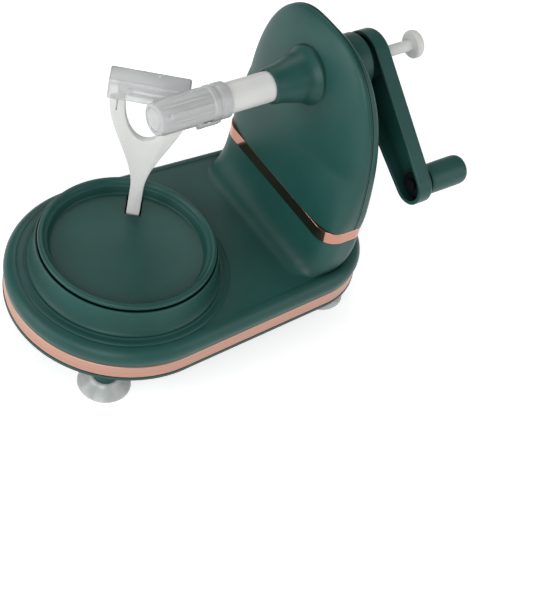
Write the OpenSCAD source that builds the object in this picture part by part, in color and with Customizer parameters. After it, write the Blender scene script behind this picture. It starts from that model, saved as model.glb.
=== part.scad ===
// Hand-cranked apple peeler on suction feet, in millimetres.
// The turntable axis is at (0, 0), the tower stands at +X, the far side is +Y and the table is z = 0.
// The finished assembly is shifted so that the middle of its box stands on the origin.

/* [Base] */
// Radius of the base foot under the dish
base_front_r = 66.5; // [65:0.5:68]
// Half width of the base foot under the tower
base_rear_r = 61.5; // [60:0.5:63]
// Distance from the turntable axis to the centres of the rear corners
base_length = 101.7; // [99:0.1:105]
// Half width of the straight end behind the tower
rear_flat = 16.2; // [12:0.2:20]
// How far the rolled edge of the deck stands out past the foot
edge_out = 0.7; // [0.4:0.1:1.2]
// Radius of the rolled edge of the deck
edge_roll = 6.5; // [5.5:0.5:7.5]
// Height of the deck
deck_z = 42; // [40:0.5:44]
// Underside of the base plate
plate_z = 20.4; // [19.6:0.1:20.8]
// Top edge of the base band
band_top_z = 31; // [30:0.5:32]
// Wall thickness of the housings
wall = 2.2; // [1.8:0.1:2.6]

/* [Feet] */
// Radius of a suction cup at the table
cup_r = 15.2; // [13:0.1:17]
// Height of a suction cup up to its socket
cup_h = 6.6; // [6:0.1:7.5]
// Distance from the base edge in to the front cups
cup_front_inset = 13.7; // [12:0.1:15]
// Direction of the front cups from the turntable axis, in degrees
cup_front_turn = 127.3; // [120:0.1:135]
// Distance from the base edge in to the rear cups
cup_rear_inset = 16.9; // [15:0.1:18]
// Direction of the rear cups from the rear corner centres, in degrees
cup_rear_turn = 47.1; // [42:0.1:52]

/* [Tower] */
// Front of the tower at its band
tower_front_x = 96.4; // [95:0.2:98]
// Back of the tower at its band
tower_rear_x = 124.5; // [124:0.1:125.5]
// Half width of the tower at its band
tower_half = 55.2; // [54:0.2:56.4]
// Radius of the front corners of the tower at its band
tower_corner = 12; // [11:0.2:13]
// Radius of the rear corners of the tower at its band
tower_rear_corner = 8.2; // [7.6:0.2:8.4]
// Lower edge of the tower band
tower_band_z = 66.4; // [64:0.2:68]
// Height of the tower band
tower_band_h = 8.1; // [7:0.1:9]
// Joint plane between the tower halves at the band
seam_x = 113.5; // [112.8:0.1:113.8]
// Forward lean of the joint plane above the band, in degrees
tower_lean = 2.9; // [2.4:0.1:3.2]
// Top of the tower
tower_top = 182; // [180:1:186]

/* [Spindle] */
// Height of the spindle axis
spindle_z = 149.3; // [148:0.1:150]
// Radius of the spindle tube
tube_r = 8.4; // [8:0.1:8.8]
// Radius of the push rod
rod_r = 3.3; // [3:0.1:3.6]
// Mouth of the front boss
boss_mouth_x = 74.4; // [72:0.2:77]
// Radius of the tube where the cap slides on
tube_tip_r = 7.2; // [7:0.1:7.4]
// Radius of the prong cap
cap_r = 8.8; // [8.6:0.1:9.2]
// Tip of the prong cap
cap_tip_x = 3.3; // [2:0.1:5]
// Rear end of the prong cap
cap_end_x = 46.3; // [45:0.1:48]

/* [Crank] */
// Inner face of the crank arm
crank_x = 138; // [137.8:0.1:139]
// Gap between the rear boss and the crank arm
crank_gap = 3.4; // [2.8:0.1:3.8]
// Thickness of the crank arm
crank_t = 10; // [9:0.2:11]
// Distance from the spindle to the handle
crank_len = 75; // [72:0.5:78]
// Angle of the crank arm below the horizontal
crank_drop = 34.5; // [30:0.5:40]
// Radius of the crank hub end
crank_hub_r = 16; // [15.5:0.1:16.5]
// Radius of the crank handle end
crank_end_r = 11; // [10:0.2:12]
// Radius of the handle grip
grip_r = 8.5; // [8:0.1:9.5]
// Outer end of the handle grip
grip_end_x = 176.5; // [174:0.5:180]
// Radius of the push knob
knob_r = 7.4; // [7:0.1:8.5]
// Outer face of the push knob
knob_end_x = 178.5; // [177:0.5:181]
// Travel of the push rod
rod_travel = 20; // [16:1:21]

/* [Dish] */
// Radius of the dish rim
dish_r = 50; // [49:0.2:51]
// Height of the dish rim
dish_top = 62; // [61:0.2:63]
// Height of the dish floor
dish_floor = 54.5; // [54:0.1:55.5]
// Radius of the dish floor
dish_floor_r = 43; // [42:0.2:44]

/* [Peeler arm] */
// Direction of the arm round the turntable axis, in degrees
arm_angle = 53.5; // [52:0.5:60]
// Outward lean of the arm at rest, in degrees
arm_lean = 2.2; // [1.5:0.1:3]
// Distance of the arm pivot from the turntable axis
pivot_r = 30.25; // [29:0.25:32]
// Height of the arm pivot
pivot_z = 46; // [45.5:0.1:46.5]
// Half width of the arm stem
stem_half = 3.75; // [3.4:0.05:4]
// Half width of the arm across its prongs
prong_half = 22; // [20:0.5:23]
// Bottom of the opening between the prongs
crotch_z = 107.9; // [105:0.5:111]
// Half width of the opening between the prongs
opening_half = 13.4; // [12:0.2:15]
// Radial thickness of the arm
arm_t = 4.5; // [4:0.1:5]
// Axis of the swivelling blade
blade_z = 138.6; // [137.6:0.1:139.4]

/* [Gears] */
// Tooth size of every gear
gear_m = 1.5; // [1.5:0.1:1.5]
// Teeth on the spindle gear and on the drive gear
small_teeth = 20; // [20:1:20]
// Teeth on the idler gears
idler_teeth = 30; // [30:1:30]
// Teeth on the worm wheel
wheel_teeth = 24; // [24:1:24]
// Height of the drive shaft
drive_z = 32; // [31.8:0.1:32.5]
// Pitch radius of the worm
worm_r = 6; // [6:0.1:6]

/* [Hidden] */
$fn = 64;

green = "#1f4634";
rose = "#c98d7c";
pale = "#dcdcda";
clear = "#cfd6d2";
steel = "#b4b8ba";
nylon = "#e6e2d4";

run_gap = 0.06;
press_gap = 0.02;
band_t = 1.55;
plate_t = 2;
shell_z = plate_z + plate_t;
shaft_r = 3;
flare_front_r = base_front_r + edge_out;
flare_rear_r = base_rear_r + edge_out;
socket_z = cup_h + 0.1;
screw_r = 1.45;
bush_r = tube_r + 2.6;
journal_r = 5;
cup_front_x = (base_front_r - cup_front_inset) * cos(cup_front_turn);
cup_front_y = (base_front_r - cup_front_inset) * sin(cup_front_turn);
cup_rear_x = base_length + (base_rear_r - rear_flat - cup_rear_inset) * cos(cup_rear_turn);
cup_rear_y = rear_flat + (base_rear_r - rear_flat - cup_rear_inset) * sin(cup_rear_turn);
worm_y = gear_m * wheel_teeth / 2 + worm_r;
gear_x = seam_x - 5.3;
gear_w = 5;
axle_r = 2.5;
tube_flat = 7.2;
tube_step_x = cap_end_x - 2.6;
tube_tip_x = cap_end_x - 7.6;
bush_front_x = tower_front_x - 4.4;
bush_rear_x = seam_x + 8.7;
rear_face_x = crank_x - crank_gap;
post_top = deck_z + 1;
hub_top = dish_floor - 5.5;
hub_r = 9;
flange_r = 19;
dish_under = dish_floor - 2.2;
dish_screw_r = 14.5;
worm_half = 13.6;
stud_r = 2.95;
ear_y = stem_half + 1.65;
ear_t = 2.6;
pin_r = 1.5;
ear_screw = [pivot_r + 6.75, ear_y + 4.1];
small_pitch = gear_m * small_teeth / 2;
idler_pitch = gear_m * idler_teeth / 2;
worm_lead = PI * gear_m;
handle_y = -crank_len * cos(crank_drop);
handle_z = spindle_z - crank_len * sin(crank_drop);

// The box of the whole assembly gives the shift to its middle.
mid_x = (knob_end_x - flare_front_r) / 2;
mid_y = (flare_front_r + handle_y - crank_end_r) / 2;

// The four gear centres in the tower form a trapezium between the spindle and the drive shaft.
span = [worm_y, drive_z - spindle_z];
span_len = norm(span);
along = span / span_len;
aside = [-along[1], along[0]];
leg = (span_len - 2 * idler_pitch) / 2;
bow = sqrt(pow(small_pitch + idler_pitch, 2) - leg * leg);
idler_a = [0, spindle_z] + leg * along + bow * aside;
idler_b = idler_a + 2 * idler_pitch * along;
hanger = idler_a - 14 * along;
tie = (idler_a + idler_b) / 2;

// Tooth phases put a tooth of one gear in a gap of the next.
function heading(a, b) = atan2(b[1] - a[1], b[0] - a[0]);
function next_phase(phase, dir, na, nb) = dir + 180 + 180 / nb - (phase - dir) * na / nb;
dir_a = heading([0, spindle_z], idler_a);
dir_b = heading(idler_a, idler_b);
dir_c = heading(idler_b, [worm_y, drive_z]);
phase_s = dir_a;
phase_a = next_phase(phase_s, dir_a, small_teeth, idler_teeth);
phase_b = next_phase(phase_a, dir_b, idler_teeth, idler_teeth);
phase_d = next_phase(phase_b, dir_c, idler_teeth, small_teeth);

module placed() {
    translate([-mid_x, -mid_y, 0]) children();
}

// Turns a flat drawing in (Y, Z) into a plate that runs along X.
module along_x(x0, len) {
    translate([x0, 0, 0]) rotate([90, 0, 90]) linear_extrude(height = len) children();
}

module rod_x(x0, x1, r, y, z) {
    translate([x0, y, z]) rotate([0, 90, 0]) cylinder(h = x1 - x0, r = r);
}

module rod_z(x, y, z0, z1, r) {
    translate([x, y, z0]) cylinder(h = z1 - z0, r = r);
}

module spun_x(y, z) {
    translate([0, y, z]) rotate([90, 0, 90]) rotate_extrude() children();
}

// Local frame of the arm: X outward, Y round the axis, Z up, leaning about the pivot.
module arm_frame() {
    rotate([0, 0, arm_angle]) translate([pivot_r, 0, pivot_z]) rotate([0, arm_lean, 0])
        translate([-pivot_r, 0, -pivot_z]) children();
}

module dish_frame() {
    rotate([0, 0, arm_angle]) children();
}

// A closed solid through a list of rings that all have the same number of points.
module loft(rings) {
    n = len(rings[0]);
    m = len(rings);
    faces = concat(
        [[for (i = [0:n - 1]) i]],
        [for (j = [0:m - 2]) for (i = [0:n - 1]) [j * n + i, (j + 1) * n + i, (j + 1) * n + (i + 1) % n]],
        [for (j = [0:m - 2]) for (i = [0:n - 1]) [j * n + i, (j + 1) * n + (i + 1) % n,
            j * n + (i + 1) % n]],
        [[for (i = [n - 1:-1:0]) (m - 1) * n + i]]
    );
    polyhedron(points = [for (r = rings) each r], faces = faces, convexity = 6);
}

base_steps = 72;
function base_ring(z, r1, r2) = let (c = r2 - rear_flat) [for (i = [0:base_steps - 1])
    let (a = 360 * (i + 0.5) / base_steps,
        rear = cos(a) * base_length + abs(sin(a)) * rear_flat + c > r1)
    [(rear ? base_length : 0) + (rear ? c : r1) * cos(a),
        (rear ? sign(sin(a)) * rear_flat : 0) + (rear ? c : r1) * sin(a), z]];

wall_steps = 48;
corner_less = tower_corner - tower_rear_corner;
function wall_ring(z, x0, x1, half, c) = [for (i = [0:wall_steps - 1])
    let (a = 360 * (i + 0.5) / wall_steps, r = cos(a) > 0 ? c - corner_less : c)
    [(cos(a) > 0 ? x1 - r : x0 + r) + r * cos(a), (sin(a) > 0 ? half - r : r - half) + r * sin(a), z]];

// The straight sides start a hair inside the circles, which keeps the outline clean where they touch.
tangent_gap = 0.06;

module base_plan(r1, r2) {
    c = r2 - rear_flat;
    side = atan2(rear_flat, base_length) + acos((r1 - c) / norm([base_length, rear_flat]));
    front = (r1 - tangent_gap) * [cos(side), sin(side)];
    rear = [base_length, rear_flat] + (c - tangent_gap) * [cos(side), sin(side)];
    circle(r = r1);
    for (s = [-1, 1]) {
        translate([base_length, s * rear_flat]) circle(r = c);
    }
    polygon([front, [front[0], -front[1]], [rear[0], -rear[1]], [base_length + c - tangent_gap,
        -rear_flat],
        [base_length + c - tangent_gap, rear_flat], rear]);
}

module tower_plan(inset) {
    half = tower_half - inset;
    x0 = tower_front_x + inset;
    x1 = tower_rear_x - inset;
    c0 = tower_corner - inset;
    c1 = tower_rear_corner - inset;
    translate([x0 + c0, -half]) square([x1 - x0 - c0 - c1, 2 * half]);
    translate([x0, c0 - half]) square([x1 - x0, 2 * half - 2 * c0]);
    translate([x0 + c0, c1 - half]) square([x1 - x0 - c0, 2 * half - 2 * c1]);
    for (s = [-1, 1]) {
        translate([x0 + c0, s * (half - c0)]) circle(r = c0);
        translate([x1 - c1, s * (half - c1)]) circle(r = c1);
    }
}

// Places of the screws that hold the base plate.
post_r = base_front_r - band_t - wall - 2.75;
post_rear_r = base_rear_r - rear_flat - band_t - wall - 3.25;
plate_posts = [[-post_r, 0], [post_r * cos(105), post_r * sin(105)], [post_r * cos(105),
    -post_r * sin(105)],
    [base_length + post_rear_r, rear_flat], [base_length + post_rear_r, -rear_flat]];

roll_z = deck_z - edge_roll;
roll_in = edge_roll - wall;

// The side rises straight from the band and rolls over to the deck.
module base_outer() {
    loft(concat([
        base_ring(shell_z, base_front_r - band_t, base_rear_r - band_t),
        base_ring(band_top_z, base_front_r - band_t, base_rear_r - band_t),
        base_ring(band_top_z + 0.1, base_front_r, base_rear_r)],
        [for (a = [0:15:90]) let (back = edge_roll * (1 - cos(a)))
            base_ring(roll_z + edge_roll * sin(a), flare_front_r - back, flare_rear_r - back)]
    ));
}

module base_inner() {
    in = band_t + wall;
    loft(concat([
        base_ring(shell_z - 1, base_front_r - in, base_rear_r - in),
        base_ring(band_top_z + 1.5, base_front_r - in, base_rear_r - in)],
        [for (a = [0:30:90]) let (back = wall + roll_in * (1 - cos(a)))
            base_ring(roll_z + roll_in * sin(a), flare_front_r - back, flare_rear_r - back)]
    ));
}

module wall_outer() {
    top = tower_band_z;
    foot = top - deck_z;
    loft([
        wall_ring(deck_z - 1.5, tower_front_x - 14, tower_rear_x + 1.6, tower_half + 1, tower_corner + 6),
        wall_ring(deck_z + 0.02 * foot, tower_front_x - 11.5, tower_rear_x + 1.4, tower_half + 0.9,
            tower_corner + 5),
        wall_ring(deck_z + 0.07 * foot, tower_front_x - 7.5, tower_rear_x + 1.2, tower_half + 0.8,
            tower_corner + 3),
        wall_ring(deck_z + 0.17 * foot, tower_front_x - 4, tower_rear_x + 1, tower_half + 0.6,
            tower_corner + 1.6),
        wall_ring(deck_z + 0.36 * foot, tower_front_x - 1.4, tower_rear_x + 0.6, tower_half + 0.4,
            tower_corner + 0.6),
        wall_ring(deck_z + 0.65 * foot, tower_front_x - 0.3, tower_rear_x + 0.2, tower_half + 0.1,
            tower_corner),
        wall_ring(top, tower_front_x, tower_rear_x, tower_half, tower_corner),
        wall_ring(top + 0.05, tower_front_x + band_t, tower_rear_x - band_t, tower_half - band_t,
            tower_corner - band_t),
        wall_ring(top + 2.6, tower_front_x + band_t, tower_rear_x - band_t, tower_half - band_t,
            tower_corner - band_t)
    ]);
}

module wall_inner() {
    in = band_t + wall;
    loft([
        wall_ring(deck_z - 6, tower_front_x + in, tower_rear_x - in - 3, tower_half - in - 6,
            tower_corner - in),
        wall_ring(deck_z - 1, tower_front_x + in, tower_rear_x - in - 2, tower_half - in - 5,
            tower_corner - in),
        wall_ring(deck_z + 12, tower_front_x + in, tower_rear_x - in, tower_half - in, tower_corner - in),
        wall_ring(tower_band_z + 3, tower_front_x + in, tower_rear_x - in, tower_half - in,
            tower_corner - in)
    ]);
}

module base_shell() {
    color(green) placed() difference() {
        union() {
            base_outer();
            wall_outer();
        }
        difference() {
            base_inner();
            for (p = plate_posts) {
                rod_z(p[0], p[1], shell_z, band_top_z + 3, 3.6);
            }
        }
        wall_inner();
        rod_z(0, 0, deck_z - 8, deck_z + 1, dish_floor_r + 6.5);
        for (p = plate_posts) {
            rod_z(p[0], p[1], shell_z - 1, band_top_z, 1.5);
        }
    }
}

// Flared collar round the dish: a thin lip outside the rim, then a curve out to a foot on the deck.
rim_gap = 0.6;
lip_t = 0.9;
lip_h = 1.4;
collar_spread = 4;

module pedestal_collar() {
    top = dish_top - 4.5;
    neck = dish_r - 3.4;
    tall = top - deck_z;
    lip_r = dish_r + rim_gap;
    skirt = lip_r + lip_t;
    color(green) placed() rotate_extrude() polygon(concat(
        [[neck, top], [lip_r, top], [lip_r, top + lip_h], [skirt - 0.3, top + lip_h]],
        [for (a = [0:15:90]) [skirt + collar_spread * (1 - cos(a)),
            top + lip_h - 0.3 - (tall + lip_h - 1.3) * sin(a)]],
        [[skirt + collar_spread, deck_z], [skirt + collar_spread - 2.6, deck_z]],
        [for (a = [75:-15:0]) [dish_r - wall + collar_spread * (1 - cos(a)),
            top - 2.4 - (tall - 2.4) * sin(a)]],
        [[neck, top - 1.8]]));
}

// The drive gear dips into a sump under the plate.
sump_reach = gear_m * small_teeth / 2 + gear_m + 1;
sump_half = sqrt(sump_reach * sump_reach - pow(drive_z - shell_z, 2));
sump_side = 3;
sump_t = 1.6;

bearing_x = [-worm_half - 3.4, worm_half + 3.4, gear_x - 8.2];

module base_plate() {
    color(green) placed() difference() {
        union() {
            translate([0, 0, plate_z]) linear_extrude(height = plate_t)
                base_plan(base_front_r + 0.3, base_rear_r + 0.3);
            for (s = [-1, 1]) {
                rod_z(cup_front_x, s * cup_front_y, socket_z, plate_z + 0.5, 7);
                rod_z(cup_rear_x, s * cup_rear_y, socket_z, plate_z + 0.5, 7);
            }
            translate([gear_x - sump_side - sump_t, worm_y - sump_half - sump_t,
                drive_z - sump_reach - sump_t])
                cube([gear_w + 2 * (sump_side + sump_t), 2 * (sump_half + sump_t),
                    plate_z + 0.5 - drive_z + sump_reach + sump_t]);
            rod_z(0, 0, shell_z - 0.5, post_top, journal_r);
            for (x = bearing_x) {
                translate([x - 3, worm_y - 5, shell_z - 0.5]) cube([6, 10, drive_z - shell_z + 0.5]);
                rod_x(x - 3, x + 3, 5, worm_y, drive_z);
            }
        }
        for (s = [-1, 1]) {
            rod_z(cup_front_x, s * cup_front_y, socket_z - 1, plate_z + 0.4, stud_r + 0.05);
            rod_z(cup_rear_x, s * cup_rear_y, socket_z - 1, plate_z + 0.4, stud_r + 0.05);
        }
        translate([gear_x - sump_side, worm_y - sump_half, drive_z - sump_reach])
            cube([gear_w + 2 * sump_side, 2 * sump_half, shell_z + 1 - drive_z + sump_reach]);
        rod_z(0, 0, post_top - 19, post_top + 1, screw_r + 0.05);
        for (x = bearing_x) {
            rod_x(x - 4, x + 4, shaft_r + run_gap, worm_y, drive_z);
        }
        for (p = plate_posts) {
            rod_z(p[0], p[1], plate_z - 1, plate_z + 4, 1.7);
            rod_z(p[0], p[1], plate_z - 1, plate_z + 1.3, 3.2);
        }
    }
}

module base_band() {
    color(rose) placed() translate([0, 0, shell_z]) linear_extrude(height = band_top_z - shell_z)
        difference() {
        base_plan(base_front_r, base_rear_r);
        base_plan(base_front_r - band_t + 0.1, base_rear_r - band_t + 0.1);
    }
}

module tower_band() {
    color(rose) placed() translate([0, 0, tower_band_z + 0.1]) linear_extrude(height = tower_band_h - 0.1)
        difference() {
        tower_plan(0);
        tower_plan(band_t - 0.03);
    }
}

// Outline of the tower: half width and depths over the height above its band.
cover_z = tower_band_z + tower_band_h;
arch_z = cover_z + 15.5;
arch_swell = 1.5;

// The section is boxy at the band; the front half turns oval soon above it, the rear half only a little.
boxy = 4.5;
front_round = 2.44;
front_rate = 2.9;
rear_round = 1.7;
function arch(z) = z < arch_z ? tower_half + arch_swell * (1 - pow((arch_z - z) / (arch_z - cover_z), 2))
    : (tower_half + arch_swell) * pow(max(0, 1 - pow((z - arch_z) / (tower_top - arch_z), 2.5)), 0.4);
function up(z) = (z - cover_z) / (tower_top - cover_z);
function front_depth(z) = (seam_x - tower_front_x) * pow(max(0, 1 - pow(up(z), 1.3)), 0.5);
function rear_depth(z) = (tower_rear_x - seam_x) * pow(max(0, 1 - pow(up(z), 5)), 0.5);
function seam_at(z) = seam_x - tan(tower_lean) * max(0, z - cover_z);
function bluff(z, side) = side < 0 ? boxy - front_round * min(1, front_rate * max(0, up(z)))
    : boxy - rear_round * min(1, max(0, up(z)));
function signed(v, n) = sign(v) * pow(abs(v), 2 / n);

// One level of a tower half: side is -1 for the front half and 1 for the rear half.
half_steps = 26;
function half_ring(z, w, d, side, over) = concat(
    [[seam_at(z) - side * over, -side * w, z]],
    [for (i = [0:half_steps]) let (t = 180 * i / half_steps)
        [seam_at(z) + side * (d * pow(max(0, sin(t)), 2 / bluff(z, side)) + 0.01),
            -side * w * signed(cos(t), bluff(z, side)),
            z]],
    [[seam_at(z) - side * over, side * w, z]]);
function depth(z, side) = side < 0 ? front_depth(z) : rear_depth(z);

// Heights of the rings crowd toward the top of the arch.
function level(i, n, top) = cover_z + (top - cover_z) * sin(90 * i / n);
ring_count = 15;

module half_outer(side) {
    tongue = tower_band_z + 2.7;
    loft(concat(
        [half_ring(tongue, tower_half - band_t, depth(cover_z, side) - band_t, side, 0)],
        [half_ring(cover_z, tower_half - band_t, depth(cover_z, side) - band_t, side, 0)],
        [for (i = [0:ring_count]) let (z = level(i, ring_count, tower_top - 0.2))
            half_ring(z + 0.05, arch(z), depth(z, side), side, 0)]
    ));
}

module half_inner(side) {
    in = band_t + wall;
    loft(concat(
        [half_ring(tower_band_z, tower_half - in, depth(cover_z, side) - in, side, 2)],
        [half_ring(cover_z + 2, tower_half - in, depth(cover_z, side) - in, side, 2)],
        [for (i = [1:ring_count]) let (z = level(i, ring_count, tower_top - 5))
            half_ring(z, arch(z) - wall - 1.2, max(0.4, depth(z, side) - wall), side, 2)]
    ));
}

post_low = [tower_half - 12.8, cover_z + 17.5];
post_high = [tower_half - 21.8, cover_z + 61.5];
tower_posts = [post_low, [-post_low[0], post_low[1]], post_high, [-post_high[0], post_high[1]]];

module tower_front_cover() {
    color(green) placed() difference() {
        union() {
            half_outer(-1);
            spun_x(0, spindle_z) polygon([[0, boss_mouth_x], [tube_r + 1, boss_mouth_x],
                [tube_r + 1.6, boss_mouth_x + 0.6], [tube_r + 1.8, boss_mouth_x + 5.6],
                [bush_r, tower_front_x - 13.4], [bush_r + 1.6, tower_front_x - 8.4],
                [bush_r + 2.2, tower_front_x - 5.4], [bush_r + 2.5, tower_front_x - 2.6],
                [bush_r + 3.4, tower_front_x - 0.4], [bush_r + 4.8, tower_front_x + 1.4],
                [bush_r + 6, tower_front_x + 2.8], [bush_r + 6.4, tower_front_x + 6.5],
                [0, tower_front_x + 6.5]]);
        }
        difference() {
            half_inner(-1);
            for (p = tower_posts) {
                rod_x(tower_front_x - 6.4, seam_at(p[1]), 3.4, p[0], p[1]);
            }
            rod_x(tower_front_x - 1.4, tower_front_x + 8.6, bush_r + 3, 0, spindle_z);
        }
        for (p = tower_posts) {
            rod_x(seam_at(p[1]) - 8, seam_at(p[1]) + 1, screw_r + 0.05, p[0], p[1]);
        }
        rod_x(boss_mouth_x - 1, bush_front_x + 2, tube_r + 0.4, 0, spindle_z);
        rod_x(bush_front_x - 0.1, seam_x + 1, bush_r + press_gap, 0, spindle_z);
    }
}

behind_x = rear_face_x + 2.5;
plate_x = seam_x + 1.7;

module tower_rear_cover() {
    color(green) placed() difference() {
        union() {
            half_outer(1);
            spun_x(0, spindle_z) polygon([[0, seam_x + 2.5], [crank_hub_r + 1.2, seam_x + 2.5],
                [crank_hub_r + 1.2, tower_rear_x - 5], [crank_hub_r + 0.7, tower_rear_x - 2.5],
                [crank_hub_r + 0.3, tower_rear_x + 0.5], [crank_hub_r + 0.3, rear_face_x - 0.8],
                [crank_hub_r - 0.5, rear_face_x], [0, rear_face_x]]);
        }
        difference() {
            half_inner(1);
            for (p = tower_posts) {
                rod_x(seam_at(p[1]), behind_x, 3.4, p[0], p[1]);
            }
            rod_x(plate_x + 2.2, behind_x, 3.4, hanger[0], hanger[1]);
            rod_x(plate_x + 2.2, behind_x, 3.4, tie[0], tie[1]);
            rod_x(seam_x + 3.2, behind_x, bush_r + 3, 0, spindle_z);
        }
        for (p = tower_posts) {
            rod_x(seam_at(p[1]) - 1, behind_x, screw_r + 0.25, p[0], p[1]);
            rod_x(seam_at(p[1]) + 4, behind_x, 3.1, p[0], p[1]);
        }
        rod_x(plate_x + 1.8, plate_x + 5.4, screw_r + 0.05, hanger[0], hanger[1]);
        rod_x(plate_x + 1.8, plate_x + 5.4, screw_r + 0.05, tie[0], tie[1]);
        rod_x(seam_x + 1.2, behind_x, bush_r + press_gap, 0, spindle_z);
    }
}

module sleeve_x(x0, x1, r0, r1) {
    difference() {
        rod_x(x0, x1, r1, 0, spindle_z);
        rod_x(x0 - 1, x1 + 1, r0, 0, spindle_z);
    }
}

module front_bush() {
    color(nylon) placed() sleeve_x(bush_front_x, gear_x - 0.3, tube_r + run_gap, bush_r);
}

module rear_bush() {
    color(nylon) placed() sleeve_x(bush_rear_x, rear_face_x - 0.1, tube_r + run_gap, bush_r);
}

module spindle_spacer() {
    color(nylon) placed() sleeve_x(gear_x + gear_w + 0.1, bush_rear_x - 0.3, tube_r + press_gap,
        bush_r - 0.6);
}

// Plate that carries the idler axles, between the gears and the rear half of the tower.
module gear_plate() {
    turn = heading(hanger, idler_b);
    color(steel) placed() difference() {
        along_x(plate_x, 2) {
            translate(hanger) circle(r = 8);
            translate(idler_b) circle(r = 8);
            translate(hanger) rotate(turn) translate([0, -7.9]) square([norm(idler_b - hanger), 15.8]);
        }
        for (p = [idler_a, idler_b]) {
            rod_x(plate_x - 1, plate_x + 3, axle_r + press_gap, p[0], p[1]);
        }
        for (p = [hanger, tie]) {
            rod_x(plate_x - 1, plate_x + 3, screw_r + 0.25, p[0], p[1]);
        }
    }
}

module idler_axles() {
    color(steel) placed() {
        for (p = [idler_a, idler_b]) {
            rod_x(gear_x - 0.6, plate_x + 2, axle_r, p[0], p[1]);
            rod_x(gear_x - 1.4, gear_x - 0.5, axle_r + 1.5, p[0], p[1]);
        }
    }
}

module gear_plate_screws() {
    color(steel) placed() {
        for (p = [hanger, tie]) {
            rod_x(plate_x - 0.2, plate_x + 5, screw_r, p[0], p[1]);
            rod_x(plate_x - 1.6, plate_x - 0.1, screw_r + 1.35, p[0], p[1]);
        }
    }
}

module plate_screws() {
    color(steel) placed() {
        for (p = plate_posts) {
            rod_z(p[0], p[1], plate_z + 0.1, band_top_z - 0.8, screw_r);
            rod_z(p[0], p[1], plate_z + 0.1, plate_z + 1.2, 3);
        }
    }
}

module tower_screws() {
    color(steel) placed() {
        for (p = tower_posts) {
            rod_x(seam_at(p[1]) - 7, seam_at(p[1]) + 5, screw_r, p[0], p[1]);
            rod_x(seam_at(p[1]) + 4.1, seam_at(p[1]) + 5.8, 2.9, p[0], p[1]);
        }
    }
}

module turntable_screw() {
    color(steel) placed() {
        rod_z(0, 0, post_top - 17, post_top + 1, screw_r);
        rod_z(0, 0, post_top + 0.05, post_top + 1, hub_r - 1.8);
        rod_z(0, 0, post_top + 0.5, post_top + 2.6, 3);
    }
}

module thrust_washer() {
    color(nylon) placed() difference() {
        rod_z(0, 0, shell_z + 0.05, shell_z + 1.05, hub_r + 1);
        rod_z(0, 0, shell_z - 1, shell_z + 2, journal_r + 0.2);
    }
}

module suction_cup(x, y) {
    color(clear) placed() translate([x, y, 0]) rotate_extrude() polygon([
        [cup_r - 1.2, 0], [cup_r, 0], [cup_r, 0.7], [cup_r - 3.4, cup_h - 3.2], [cup_r - 6.2,
            cup_h - 1.2],
        [cup_r - 7.2, cup_h], [stud_r, cup_h], [stud_r, plate_z], [0, plate_z],
        [0, cup_h - 1.8], [cup_r - 8.8, cup_h - 2.6], [cup_r - 4.6, cup_h - 4.2]]);
}

module suction_cup_front_near() {
    suction_cup(cup_front_x, -cup_front_y);
}

module suction_cup_front_far() {
    suction_cup(cup_front_x, cup_front_y);
}

module suction_cup_rear_near() {
    suction_cup(cup_rear_x, -cup_rear_y);
}

module suction_cup_rear_far() {
    suction_cup(cup_rear_x, cup_rear_y);
}

// Round section with two flats that face along the crank arm.
module driven_section(r, flat) {
    intersection() {
        circle(r = r);
        rotate(crank_drop) square([2 * flat, 3 * r], center = true);
    }
}

module spindle_tube() {
    tail = crank_x + 8.4;
    color(pale) placed() difference() {
        union() {
            rod_x(tube_tip_x, tube_step_x + 0.5, tube_tip_r, 0, spindle_z);
            rod_x(tube_step_x, tail, tube_r, 0, spindle_z);
        }
        rod_x(tube_tip_x - 1, tail + 1, rod_r + run_gap, 0, spindle_z);
        for (s = [0, 180]) {
            translate([gear_x - 0.1, 0, spindle_z]) rotate([crank_drop + s, 0, 0])
                translate([0, tube_flat, -10]) cube([tail - gear_x + 1, 5, 20]);
        }
    }
}

// Outline points of an involute tooth, in degrees from the middle of the tooth.
function inv(a) = tan(a) * 180 / PI - a;
function roll(rb, r) = r <= rb ? 0 : acos(rb / r);
function tooth(n, thin, r) = let (rp = gear_m * n / 2, rb = rp * cos(20))
    90 / n - thin / rp * 90 / PI + inv(20) - inv(roll(rb, r));

module gear_plan(n, thin, phase) {
    rp = gear_m * n / 2;
    rf = rp - 1.3 * gear_m;
    radii = [rf, max(rf + 0.1, rp * cos(20) + 0.1), rp, rp + 0.95 * gear_m];
    polygon([for (i = [0:n - 1]) each concat(
        [for (k = [0:3]) let (a = phase + 360 * i / n - tooth(n, thin, radii[k])) radii[k] * [cos(a),
            sin(a)]],
        [for (k = [3:-1:0]) let (a = phase + 360 * i / n + tooth(n, thin, radii[k]))
            radii[k] * [cos(a), sin(a)]])]);
}

module spindle_gear() {
    color(nylon) placed() along_x(gear_x, gear_w) translate([0, spindle_z]) difference() {
        gear_plan(small_teeth, 0.35, phase_s);
        driven_section(tube_r + press_gap, tube_flat + press_gap);
    }
}

module idler(p, phase) {
    color(nylon) placed() difference() {
        union() {
            along_x(gear_x, gear_w) translate(p) gear_plan(idler_teeth, 0.35, phase);
            rod_x(gear_x + gear_w - 0.1, plate_x - 0.3, 5, p[0], p[1]);
        }
        rod_x(gear_x - 1, plate_x + 1, axle_r + run_gap, p[0], p[1]);
    }
}

module idler_gear_upper() {
    idler(idler_a, phase_a);
}

module idler_gear_lower() {
    idler(idler_b, phase_b);
}

module drive_gear() {
    color(nylon) placed() along_x(gear_x, gear_w) translate([worm_y, drive_z]) difference() {
        gear_plan(small_teeth, 0.35, phase_d);
        circle(r = shaft_r + press_gap);
    }
}

module drive_shaft() {
    color(steel) placed() rod_x(-worm_half - 8.4, gear_x + gear_w + 1, shaft_r, worm_y, drive_z);
}

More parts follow.
